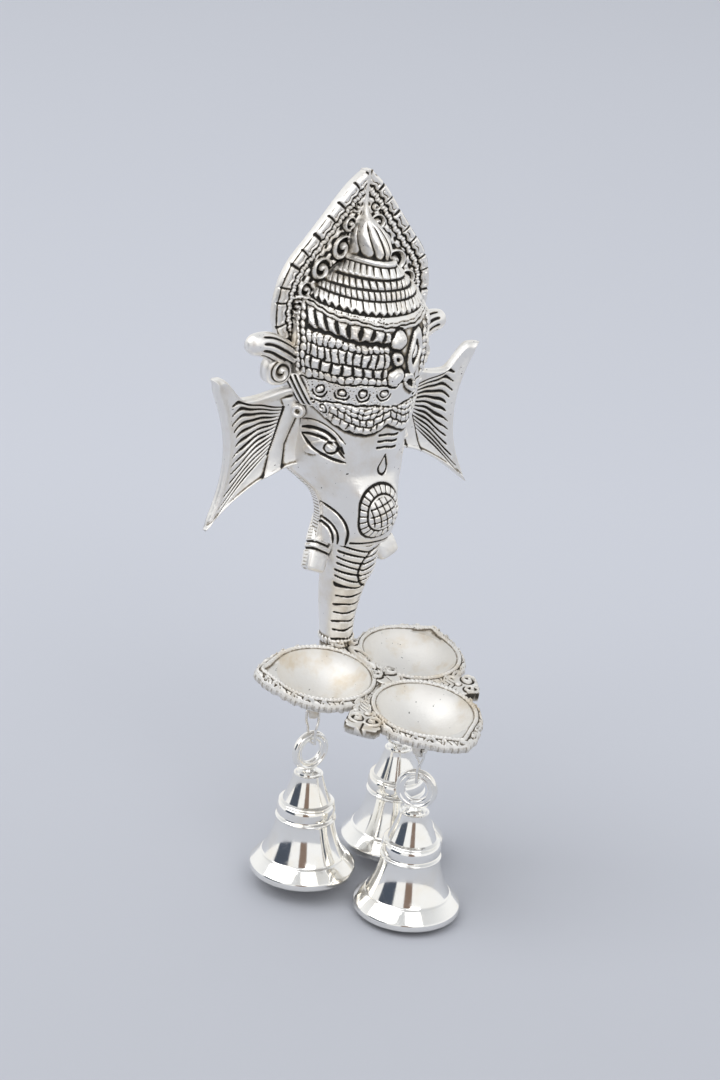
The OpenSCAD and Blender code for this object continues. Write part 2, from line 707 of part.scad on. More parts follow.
module rim_plate() {
    translate([0, 0, -rim_t])
        linear_extrude(rim_t)
            polygon([for (i = [0:rim_steps - 1]) let (a = 360 * i / rim_steps)
                rim_reach(a) * [cos(a), sin(a)]]);
}

// Flat tab under a bowl, round at its low end, which carries a link
module lug(k) {
    low_end = [for (i = [0:12]) let (a = mix(180, 360, i / 12)) lug_d / 2 * [cos(a), sin(a)]];
    high_end = [for (side = [1, -1]) [side * lug_wide / 2, lug_drop - rim_t]];
    translate(lug_point(k))
        rotate([0, 0, lug_turn[k]])
            rotate([90, 0, 90])
                translate([0, 0, -lug_t / 2])
                    linear_extrude(lug_t)
                        polygon(concat(low_end, high_end));
}

// Three leaf-shaped bowls with rims, lobes, a tongue for the trunk and three lugs
module diya_tray() {
    color("whitesmoke")
    difference() {
        union() {
            in_tray_plane() {
                rim_plate();
                for (turn = lug_turn)
                    rotate([0, 0, turn])
                        intersection() {
                            translate([bowl_out, 0, bowl_up])
                                sphere(r = bowl_r + bowl_wall);
                            translate([bowl_out, 0, -bowl_deep - bowl_wall - over])
                                cylinder(r = bowl_d, h = bowl_deep + bowl_wall + over - rim_t / 2);
                        }
                translate([0, foot_out, -tongue_t])
                    cylinder(d = tongue_w - 0.4, h = tongue_t - rim_t / 2);
                translate([-tongue_w / 2 + 1, 4, -tongue_t])
                    cube([tongue_w - 2, foot_out - 4, tongue_t - rim_t / 2]);
            }
            for (k = [0:2])
                lug(k);
        }
        in_tray_plane() {
            for (turn = lug_turn)
                rotate([0, 0, turn]) {
                    translate([bowl_out, 0, bowl_up])
                        sphere(r = bowl_r);
                    translate([spout_out, 0, spout_r - spout_deep])
                        sphere(r = spout_r);
                }
            translate([0, foot_out, -tongue_t - over])
                cylinder(d = screw_d + 2 * hole_play, h = tongue_t + 2 * over);
        }
        for (k = [0:2])
            translate(lug_point(k))
                rotate([0, 90, lug_turn[k]])
                    cylinder(d = wire_d + 2 * play, h = lug_t + 8 * over, center = true);
    }
}

// Pan-head screw up through the tongue into the trunk
module tray_screw() {
    color("lightslategray")
    in_tray_plane()
        translate([0, foot_out, -tongue_t]) {
            cylinder(d = screw_d, h = screw_l);
            difference() {
                translate([0, 0, -screw_head_h])
                    cylinder(d = screw_head_d, h = screw_head_h);
                translate([-screw_head_d, -screw_d * 0.1, -screw_head_h - over])
                    cube([2 * screw_head_d, screw_d * 0.2, over + screw_head_h * 0.45]);
            }
        }
}

// Wire link: a straight run in the lug, a straight run in the ring, and two
// strands that twist from one run's direction to the other's
function strand_point(k, side, t) =
    let (turn = ring_turn[k] - lug_turn[k],
         near = turn > 90 ? turn - 180 : turn < -90 ? turn + 180 : turn,
         e = ease((t * link_l - straight_top) / (link_l - straight_top - straight_low)),
         a = lug_turn[k] + near * e,
         half = side * mix(run_top, run_low, e) / 2)
    lug_point(k) + [half * cos(a), half * sin(a), -t * link_l];
module strand(k, side) {
    tube_solid([for (i = [0:link_steps]) let (c = strand_point(k, side, i / link_steps))
        [for (j = [0:wire_sides - 1])
            c + strand_d / 2 * [cos(360 * (j + 0.5) / wire_sides), sin(360 * (j + 0.5) / wire_sides), 0]]]);
}
module run(p, turn, length) {
    translate(p)
        rotate([0, 90, turn])
            cylinder(d = wire_d, h = length + wire_d, center = true);
}
module link(k) {
    color("silver") {
        run(lug_point(k), lug_turn[k], run_top);
        run(bell_point(k), ring_turn[k], run_low);
        strand(k, 1);
        strand(k, -1);
    }
}

// Ring with a stepped face, its foot, and the stem with a flat eye at its end
module loop(k) {
    inner = ring_hole_d / 2;
    half = ring_w / 2;
    color("gainsboro")
    translate(bell_point(k))
        rotate([0, 0, ring_turn[k] + 90]) {
            difference() {
                union() {
                    translate([0, 0, -ring_mid])
                        rotate([90, 0, 0])
                            rotate_extrude()
                                polygon([
                                    [inner, -half * 0.6], [inner + ring_t * 0.16, -half],
                                    [inner + ring_t * 0.4, -half], [inner + ring_t * 0.5, -half * 0.75],
                                    [inner + ring_t * 0.6, -half], [inner + ring_t * 0.84, -half],
                                    [inner + ring_t, -half * 0.6], [inner + ring_t, half * 0.6],
                                    [inner + ring_t * 0.84, half], [inner + ring_t * 0.6, half],
                                    [inner + ring_t * 0.5, half * 0.75], [inner + ring_t * 0.4, half],
                                    [inner + ring_t * 0.16, half], [inner, half * 0.6],
                                ]);
                    translate([0, 0, -bell_top])
                        cylinder(d = foot_d, h = foot_t);
                    translate([0, 0, -pin_drop + stem_d / 2])
                        cylinder(d = stem_d, h = pin_drop - stem_d / 2 - bell_top + foot_t);
                    translate([0, 0, -pin_drop])
                        rotate([90, 0, 0])
                            cylinder(d = stem_d, h = eye_t, center = true);
                    translate([-stem_d / 2, -eye_t / 2, -pin_drop])
                        cube([stem_d, eye_t, stem_d * 0.75]);
                }
                translate([0, 0, -pin_drop])
                    rotate([90, 0, 0])
                        cylinder(d = eye_d, h = stem_d + 4 * over, center = true);
            }
        }
}

// Bell cup turned from one profile: neck, bead, band, waist, skirt and lip
module bell(k) {
    steps = 6;
    outer = concat(
        [[foot_d / 2 + 0.6, 0], [foot_d / 2 + 0.6, 1.2]],
        [[shoulder_d / 2, neck_end], [band_r - 0.3, neck_end + 0.5], [band_r - 0.3, neck_end + 1.7],
            [band_r - 0.7, neck_end + 2.1], [band_r - 0.2, band_end - 1.4], [band_r + 0.3, band_end - 1],
            [band_r + 0.3, band_end]],
        [for (i = [1:steps]) let (t = i / steps)
            [mix(band_r, waist_r, pow(t, 1.5)), mix(band_end, waist_end, t)]],
        [for (i = [1:steps]) let (t = i / steps)
            [mix(waist_r, bell_d / 2, pow(t, 1.2)), mix(waist_end, skirt_end, t)]],
        [[bell_d / 2, bell_h]]
    );
    inner = concat(
        [[bell_d / 2 - bell_wall, bell_h], [bell_d / 2 - bell_wall, skirt_end + 0.3]],
        [for (i = [steps - 1:-1:0]) let (t = i / steps)
            [mix(waist_r, bell_d / 2, pow(t, 1.2)) - bell_wall, mix(waist_end, skirt_end, t) + 0.3]],
        [for (i = [steps - 1:-1:1]) let (t = i / steps)
            [mix(band_r, waist_r, pow(t, 1.5)) - bell_wall, mix(band_end, waist_end, t)]],
        [[band_r - 0.7 - bell_wall, band_end], [shoulder_d / 2 - bell_wall, neck_end],
            [nut_w / 2 + 0.9, crown_t], [stem_d / 2 + hole_play, crown_t], [stem_d / 2 + hole_play, 0]]
    );
    color("silver")
    translate(bell_point(k) - [0, 0, bell_top])
        rotate_extrude()
            polygon([for (p = concat(outer, inner)) [p[0], -p[1]]]);
}

// Hexagon nut on the stem, tight under the bell's crown
module nut(k) {
    color("lightslategray")
    translate(bell_point(k) - [0, 0, nut_top + nut_h])
        rotate([0, 0, ring_turn[k]])
            difference() {
                cylinder(d = nut_w / cos(30), h = nut_h, $fn = 6);
                translate([0, 0, -over])
                    cylinder(d = stem_d + 2 * hole_play, h = nut_h + 2 * over);
            }
}

// Ball on a rod, hung by a wire stirrup through the stem's eye
module clapper(k) {
    bar_drop = stem_d / 2 + play + pin_d / 2 + 0.3;
    bar_l = pin_l + pin_d;
    color("darkgray")
    translate(bell_point(k) - [0, 0, pin_drop])
        rotate([0, 0, ring_turn[k]]) {
            for (drop = [0, bar_drop])
                translate([0, 0, -drop])
                    rotate([0, 90, 0])
                        cylinder(d = pin_d, h = bar_l, center = true);
            for (side = [-1, 1])
                translate([side * pin_l / 2, 0, -bar_drop])
                    cylinder(d = pin_d * 0.92, h = bar_drop);
            translate([0, 0, -clapper_l])
                cylinder(d = pin_d * 1.8, h = clapper_l - bar_drop);
            translate([0, 0, -clapper_l])
                sphere(d = ball_d);
        }
}

mask();
hanger_plate();
hanger_rivets();
diya_tray();
tray_screw();
link(0);  // link_left
link(1);  // link_front
link(2);  // link_right
loop(0);  // loop_left
loop(1);  // loop_front
loop(2);  // loop_right
bell(0);  // bell_left
bell(1);  // bell_front
bell(2);  // bell_right
nut(0);  // nut_left
nut(1);  // nut_front
nut(2);  // nut_right
clapper(0);  // clapper_left
clapper(1);  // clapper_front
clapper(2);  // clapper_right
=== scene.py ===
# A hanging diya: a silver-plated elephant mask for the wall, the tray of oil bowls on
# its trunk and the three bells under the tray. The frame is the CAD's: the mask faces
# -Y, its back is on the wall at y = 0 and +Z is up. Pieces are drawn in millimetres.
import math

import bmesh
import bpy
import numpy as np
from mathutils import Matrix, Vector


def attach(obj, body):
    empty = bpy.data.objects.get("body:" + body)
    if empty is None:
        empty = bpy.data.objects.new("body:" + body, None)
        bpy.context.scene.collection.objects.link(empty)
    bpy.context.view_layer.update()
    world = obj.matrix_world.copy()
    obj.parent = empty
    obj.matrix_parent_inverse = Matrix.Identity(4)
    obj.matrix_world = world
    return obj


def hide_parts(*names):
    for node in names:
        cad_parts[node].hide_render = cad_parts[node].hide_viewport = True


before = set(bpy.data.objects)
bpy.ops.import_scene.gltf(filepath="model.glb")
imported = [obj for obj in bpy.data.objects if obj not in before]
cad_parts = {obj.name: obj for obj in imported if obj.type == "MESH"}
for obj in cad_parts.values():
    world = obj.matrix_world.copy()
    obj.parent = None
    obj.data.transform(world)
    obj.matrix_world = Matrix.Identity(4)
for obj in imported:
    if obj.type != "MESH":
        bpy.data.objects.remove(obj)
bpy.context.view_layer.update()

# Antique silver, the finish of the castings.
# The plated metal is dipped black and buffed, so the oxide stays in the carved recesses
# and the high parts shine. Pits and pale yellow stains are left from the casting.


def new_group(name, inputs, outputs):
    """A shader group: a colour where the value is a tuple or the output is Color, else a number."""
    group = bpy.data.node_groups.new(name, "ShaderNodeTree")
    for label, value in inputs.items():
        kind = "NodeSocketColor" if isinstance(value, tuple) else "NodeSocketFloat"
        group.interface.new_socket(label, in_out="INPUT", socket_type=kind).default_value = value
    for label in outputs:
        kind = "NodeSocketColor" if label == "Color" else "NodeSocketFloat"
        group.interface.new_socket(label, in_out="OUTPUT", socket_type=kind)
    return group


def add_node(tree, kind, settings=None, **values):
    node = tree.nodes.new(kind)
    for label, value in (settings or {}).items():
        setattr(node, label, value)
    for label, value in values.items():
        node.inputs[label.replace("_", " ")].default_value = value
    return node


def feed(tree, sockets, values):
    """Gives each socket its plain value, or a link from another node's output."""
    for socket, value in zip(sockets, values):
        if isinstance(value, (int, float, tuple)):
            socket.default_value = value
        else:
            tree.links.new(value, socket)


def add_math(tree, operation, first, second, clamp=False):
    node = add_node(tree, "ShaderNodeMath", {"operation": operation, "use_clamp": clamp})
    feed(tree, node.inputs, (first, second))
    return node.outputs[0]


def add_mix(tree, factor, first, second):
    node = add_node(tree, "ShaderNodeMix", {"data_type": "RGBA"})
    feed(tree, (node.inputs[0], node.inputs[6], node.inputs[7]), (factor, first, second))
    return node.outputs[2]


def add_ramp(tree, value, low, high):
    """Soft step of a value from 0 at low to 1 at high."""
    soft = {"interpolation_type": "SMOOTHSTEP"}
    node = add_node(tree, "ShaderNodeMapRange", soft, From_Min=low, From_Max=high)
    tree.links.new(value, node.inputs["Value"])
    return node.outputs[0]


def add_noise(tree, scale, detail, roughness=0.6):
    place = tree.nodes.new("ShaderNodeTexCoord").outputs["Object"]
    node = add_node(tree, "ShaderNodeTexNoise", Scale=scale, Detail=detail, Roughness=roughness)
    tree.links.new(place, node.inputs["Vector"])
    return node.outputs["Fac"]


oxide_film = new_group(
    "oxide film",
    {"Recess": 0.0, "Oxide": 1.0, "Stain": 0.5, "Gloss": 0.25, "Pits": 1.0, "Bright": (0.9, 0.88, 0.84, 1)},
    ("Color", "Roughness", "Dark", "Height"))


def fill_oxide_film(tree):
    given = tree.nodes.new("NodeGroupInput").outputs
    result = tree.nodes.new("NodeGroupOutput").inputs
    grain = add_noise(tree, 1500, 3)
    patch = add_noise(tree, 260, 3)
    cloud = add_noise(tree, 90, 4)
    patchy = add_math(tree, "ADD", add_math(tree, "MULTIPLY", patch, 1.1), 0.35)
    filled = add_math(tree, "MULTIPLY", given["Recess"], patchy)
    rubbed = add_math(tree, "MULTIPLY", add_math(tree, "SUBTRACT", grain, 0.5), 0.35)
    filled = add_math(tree, "ADD", filled, rubbed)
    film = add_math(tree, "MULTIPLY", add_ramp(tree, filled, 0.1, 0.45), given["Oxide"], clamp=True)
    black = add_math(tree, "MULTIPLY", add_ramp(tree, filled, 0.34, 0.7), given["Oxide"], clamp=True)
    specks = add_ramp(tree, add_noise(tree, 900, 1), 0.74, 0.8)
    holes = add_math(tree, "MULTIPLY", specks, given["Pits"], clamp=True)
    stain = add_math(tree, "MULTIPLY", add_ramp(tree, cloud, 0.45, 0.75), given["Stain"], clamp=True)
    color = add_mix(tree, stain, given["Bright"], (0.70, 0.58, 0.40, 1))
    color = add_mix(tree, film, color, (0.33, 0.28, 0.21, 1))
    color = add_mix(tree, add_math(tree, "MAXIMUM", black, holes), color, (0.012, 0.010, 0.008, 1))
    rough = add_math(tree, "ADD", given["Gloss"], add_math(tree, "MULTIPLY", cloud, 0.12))
    rough = add_math(tree, "ADD", rough, add_math(tree, "MULTIPLY", film, 0.3))
    height = add_math(tree, "ADD", add_math(tree, "MULTIPLY", grain, 0.4), add_noise(tree, 420, 2))
    tree.links.new(color, result["Color"])
    tree.links.new(rough, result["Roughness"])
    tree.links.new(black, result["Dark"])
    tree.links.new(height, result["Height"])


fill_oxide_film(oxide_film)


def new_finish(name, group, values, bumps, depth):
    """A material whose colour, roughness and bumps come from a shader group."""
    material = bpy.data.materials.new(name)
    material.use_nodes = True
    tree = material.node_tree
    shader = tree.nodes["Principled BSDF"].inputs
    source = tree.nodes.new("ShaderNodeGroup")
    source.node_tree = group
    for label, value in values.items():
        source.inputs[label].default_value = value
    bump = add_node(tree, "ShaderNodeBump", Strength=bumps, Distance=depth)
    tree.links.new(source.outputs["Height"], bump.inputs["Height"])
    tree.links.new(bump.outputs["Normal"], shader["Normal"])
    tree.links.new(source.outputs["Color"], shader["Base Color"])
    tree.links.new(source.outputs["Roughness"], shader["Roughness"])
    return material, tree, shader, source


def cast_silver(name, oxide, stain, gloss, pits, bright, bumps):
    values = {"Oxide": oxide, "Stain": stain, "Gloss": gloss, "Pits": pits, "Bright": bright}
    material, tree, shader, film = new_finish(name, oxide_film, values, bumps, 0.0003)
    recess = add_node(tree, "ShaderNodeAttribute", {"attribute_name": "recess"})
    tree.links.new(recess.outputs["Fac"], film.inputs["Recess"])
    metal = add_math(tree, "SUBTRACT", 1.0, add_math(tree, "MULTIPLY", film.outputs["Dark"], 0.75))
    tree.links.new(metal, shader["Metallic"])
    return material


antique_silver = cast_silver("antique silver", 1.0, 0.35, 0.32, 1.0, (0.96, 0.94, 0.905, 1), 0.5)

# The mask's head, cap and crown: one hollow casting, open at the back.
# Its relief is carved in the mould: a tiled border round the crown, tiers of petals under
# a fluted finial, rows of beads on the cap, a swagged brow band, eyes, folds and a medallion.
MM = 0.001
CROWN_TOP = 37.5
CHIN = -77.0
WALL = 3.0

head_outline = [(-77, 14.6), (-73, 13.4), (-67, 12.7), (-62, 13.8), (-58.5, 16.6), (-54.5, 20.2),
                (-50, 21.2), (-39, 20.5), (-27, 22), (-15, 26.4), (-6, 29.4), (4, 28.5), (11, 25.3),
                (17.5, 19.7), (24, 14.1), (31, 8.2), (34.5, 4.6), (37.5, 0.4)]
rim_line = [(-77, 13.4), (-73, 12.6), (-67, 11.4), (-62, 9.6), (-58.5, 7.4), (-54.5, 5.0), (-50, 3.6),
            (-46, 3.2), (37.5, 3.2)]
face_line = [(-77, 24.4), (-72, 27.4), (-66, 29.2), (-61, 27.6), (-57, 25.2), (-53, 23.8), (-48, 24.6),
             (-38, 25.8), (-20, 27), (-8, 26), (-3.8, 24.6), (0, 23.4), (4, 22), (7, 20.6), (11.4, 18.6),
             (12.7, 16.8), (14.9, 17.2), (17.9, 15.6), (20.5, 12.6), (22.5, 8.6), (24.45, 5), (27.5, 3.6),
             (37.5, 3.2)]
dome_outline = [(-77, 12.4), (-73, 12.4), (-67, 12), (-62, 13), (-58.5, 15.8), (-54.5, 19.4), (-50, 20.4),
                (-39, 19.7), (-27, 22), (-14, 23.4), (-6, 22.4), (0, 19), (4, 15.8), (7, 11.4), (10.5, 6.6),
                (13.1, 4.6), (16.2, 4.9), (19, 4.4), (22.5, 2.2), (24.5, 1), (37.5, 0.4)]


def curve(points, value):
    """Value of a smooth curve through points, given as (place, value) pairs."""
    p = np.array(points, float)
    last = len(p) - 1
    before = np.maximum(np.arange(last + 1) - 1, 0)
    after = np.minimum(np.arange(last + 1) + 1, last)
    slope = (p[after, 1] - p[before, 1]) / (p[after, 0] - p[before, 0])
    i = np.clip(np.searchsorted(p[:, 0], value, side="right") - 1, 0, last - 1)
    span = p[i + 1, 0] - p[i, 0]
    t = np.clip((value - p[i, 0]) / span, 0, 1)
    rise = t * t * (3 - 2 * t)
    lean = (t ** 3 - 2 * t ** 2 + t) * slope[i] + (t ** 3 - t ** 2) * slope[i + 1]
    return p[i, 1] * (1 - rise) + p[i + 1, 1] * rise + span * lean


def bulge(x, half):
    return np.clip(1 - np.clip(np.abs(x) / half, 0, 1) ** 2.4, 0, 1) ** 0.6


def head_edge(z):
    return np.maximum(curve(head_outline, z), curve(dome_outline, z) + 0.8)


def front_depth(x, z):
    rim = curve(rim_line, z)
    return rim + (curve(face_line, z) - rim) * bulge(x, curve(dome_outline, z))


def back_depth(x, z):
    half = np.maximum(0.5, curve(dome_outline, z) - WALL)
    square = np.sqrt(np.clip(1 - np.clip(np.abs(x) / half, 0, 1) ** 4, 0, 1))
    deep = np.maximum(0, curve(face_line, z) - WALL) * square * soft_step(curve(dome_outline, z) - 5.2, 2.4)
    edge = np.maximum(0, curve(rim_line, z) - 3.2)
    return np.maximum(edge, np.minimum(front_depth(x, z) - WALL * 0.8, deep))


def head_lean(z):
    """The crown was cast a little askew, over to its left, and so was the jaw."""
    return 4.5 * np.maximum(0, (z + 50) / 87.5) ** 1.2 + 0.8 * np.exp(-((z + 66) / 8) ** 2)


def soft_step(distance, width):
    t = np.clip(distance / width, 0, 1)
    return t * t * (3 - 2 * t)


def groove(distance, width, depth):
    return -depth * np.clip(1 - (distance / width) ** 2, 0, 1) ** 1.5


def dome(distance, radius, lift):
    return lift * np.sqrt(np.clip(1 - (distance / radius) ** 2, 0, 1))


def in_cell(along, pitch):
    return along - pitch * np.round(along / pitch)


def uneven(along, pitch):
    """A share from 0.7 to 1 that differs from cell to cell."""
    return 0.85 + 0.15 * np.sin(12.9 * np.round(along / pitch) + 3.7 * pitch)


def block_row(along, across, pitch, low, high, lift, joint=0.12):
    """A row of cushioned blocks between two heights, with a dark joint round each."""
    inside = np.minimum(pitch / 2 - np.abs(in_cell(along, pitch)) - joint,
                        np.minimum(across - low, high - across) - 0.12)
    round_over = 1 - np.clip(1 - inside / 0.85, 0, 1) ** 2
    return lift * uneven(along, pitch) * np.where(inside > 0, round_over, 0)


def bead_row(along, across, pitch, low, high, lift):
    """A row of round beads between two heights."""
    sideways = in_cell(along, pitch) / (pitch * 0.5)
    reach = np.hypot(sideways, (across - (low + high) / 2) / ((high - low) * 0.5))
    return dome(reach, 1.0, lift) * uneven(along, pitch)


def along_line(a, b, points):
    """Distance from each place to a broken line, and how far along the line that is."""
    best = np.full(a.shape, 1e9)
    run = np.zeros(a.shape)
    start = 0.0
    for (a0, b0), (a1, b1) in zip(points[:-1], points[1:]):
        length = math.hypot(a1 - a0, b1 - b0)
        t = np.clip(((a - a0) * (a1 - a0) + (b - b0) * (b1 - b0)) / length ** 2, 0, 1)
        away = np.hypot(a - a0 - t * (a1 - a0), b - b0 - t * (b1 - b0))
        run = np.where(away < best, start + t * length, run)
        best = np.minimum(best, away)
        start += length
    return best, run


def rounded(points, steps=6):
    """The same broken line with smooth bends."""
    p = np.array(points, float)
    run = np.concatenate([[0], np.cumsum(np.hypot(*np.diff(p, axis=0).T))])
    at = np.linspace(0, run[-1], steps * (len(p) - 1) + 1)
    first = curve(list(zip(run, p[:, 0])), at)
    second = curve(list(zip(run, p[:, 1])), at)
    return list(zip(first, second))


def line_cut(a, b, points, width, depth):
    """A groove along a curved line, thinner at its two ends."""
    path = rounded(points)
    away, run = along_line(a, b, path)
    length = sum(math.dist(p, q) for p, q in zip(path[:-1], path[1:]))
    thin = 0.45 + 0.55 * soft_step(run, 2.5) * soft_step(length - run, 2.5)
    return groove(away, width * thin, depth)


def spiral(a, b, middle, radius, turns, lift):
    """A raised scroll that winds in to its middle."""
    across = a - middle[0]
    up = b - middle[1]
    away = np.hypot(across, up)
    phase = away / radius * turns - np.arctan2(up, across) / (2 * math.pi)
    ridge = 0.5 + 0.5 * np.cos(2 * math.pi * phase)
    return lift * (1.6 * ridge - 0.6) * soft_step(radius - away, 0.5)


def crown_relief(x, z):
    """Tiled border, bead line and scrolls on the flat part of the crown."""
    heights = np.linspace(-16, CROWN_TOP, 44)
    rim = list(zip(head_edge(heights[::-1]), heights[::-1]))
    inward, run = along_line(np.abs(x), z, rim)
    ragged = inward + 0.25 * np.sin(1.9 * run) * np.sign(x)
    tile = 6.2
    warped = run + 0.8 * np.sin(0.43 * run + np.sign(x)) - tile / 2
    inside = np.minimum(tile / 2 - np.abs(in_cell(warped, tile)), 3.4 - ragged) - 0.12
    h = 0.7 * soft_step(inside, 0.5) + groove(inside - 1.15, 0.35, 0.35) * soft_step(ragged - 1.2, 0.5)
    h += groove(ragged - 3.55, 0.4, 0.4) + bead_row(run, ragged, 1.3, 3.8, 5.4, 0.7)
    h += groove(ragged - 5.7, 0.4, 0.5)
    h -= 0.8 * np.clip(1 - inward / 1.1, 0, 1) ** 2
    scrolls = np.zeros_like(h)
    for middle, radius in (((7.1, 13.8), 4.3), ((14.3, 7.9), 4.0), ((19.8, 2.0), 2.9), ((5.4, 21.0), 2.7),
                           ((22.6, -3.0), 2.4), ((3.6, 26.2), 1.8), ((23.6, -7.4), 1.9)):
        scrolls += spiral(np.abs(x), z, middle, radius, 1.3, 1.35)
    leaves = 0.4 * np.sin(1.9 * (np.abs(x) + 0.6 * z)) * np.cos(1.3 * (z - 0.4 * np.abs(x)))
    h += np.where(inward > 5.9, np.where(scrolls == 0, leaves, scrolls), 0)
    # A groove round the foot of the finial's dome, from z 7 to 21. The black oxide that fills it is partly
    # painted shade: it stands for the shadow under the dome's overhanging flank.
    foot = np.abs(x) - curve(dome_outline, z) - 0.5
    h += groove(foot, 1.0, 0.9) * soft_step(z - 7, 1.5) * soft_step(21 - z, 1.5)
    flat = soft_step(np.abs(x) - curve(dome_outline, z) + 0.2, 0.7) * soft_step(z + 15, 1.5)
    return h * flat


def tier_line(middle, side, x, z):
    """Height of a tier's edge, which rises from the middle to the sides."""
    share = np.arcsin(np.clip(np.abs(x) / curve(dome_outline, z), 0, 1)) * 2 / math.pi
    return middle + (side - middle) * share ** 1.6


def tier_relief(x, s, z):
    """Fluted finial, its ring, three tiers of petals and the toothed skirt."""
    turn = np.degrees(np.arcsin(np.clip(x / curve(dome_outline, z), -1, 1)))
    flutes = dome(in_cell(turn + 1.4 * (z - 13), 27.0), 13.5, 0.9) - 0.9
    h = flutes * soft_step(z - 12.5, 0.5) * soft_step(22.5 - z, 2.0)
    h += dome(z - 11.6, 0.65, 1.0)
    petals = dome(in_cell(s, 2.3), 1.15, 0.9) - 0.25 + 0.6 * np.clip((10.8 - z) / 3.2, 0, 1)
    h += petals * soft_step(z - 7.6, 0.3) * soft_step(10.8 - z, 0.4)
    h += block_row(s, z, 2.2, tier_line(4.7, 5.4, x, z), 7.4, 0.85)
    h += block_row(s + 0.5, z, 1.8, tier_line(1.6, 3.7, x, z), tier_line(4.5, 5.2, x, z), 0.75)
    skirt_low = tier_line(-2.6, 1.0, x, z)
    skirt_high = tier_line(1.4, 3.5, x, z)
    tooth = skirt_low + 1.0 - 1.1 * (1 - np.abs(in_cell(s, 2.4)) / 1.2)
    leaf = 0.4 + 0.85 * np.clip((skirt_high - z) / (skirt_high - skirt_low), 0, 1)
    leaf += groove(in_cell(s, 3.6), 0.35, 0.55) + groove(in_cell(s + 1.8, 3.6), 0.25, 0.3)
    h += leaf * soft_step(z - tooth, 0.35) * soft_step(skirt_high - z, 0.3)
    return h * soft_step(curve(dome_outline, z) - np.abs(x) + 0.1, 0.5)


def wobble(s, z):
    """Hand-cut ornament never runs quite true."""
    across = 0.3 * np.sin(0.8 * z + 0.35 * s) + 0.18 * np.sin(1.9 * s + 0.6 * z)
    up = 0.24 * np.sin(0.5 * s + 0.4 * z) + 0.12 * np.sin(1.7 * s - 0.5 * z)
    return s + across, z + up


def cap_line(middle, side, a):
    """Height of a row's edge on the cap: rows sweep up towards the temples."""
    return middle + (side - middle) * (np.minimum(a, 30) / 25) ** 1.3


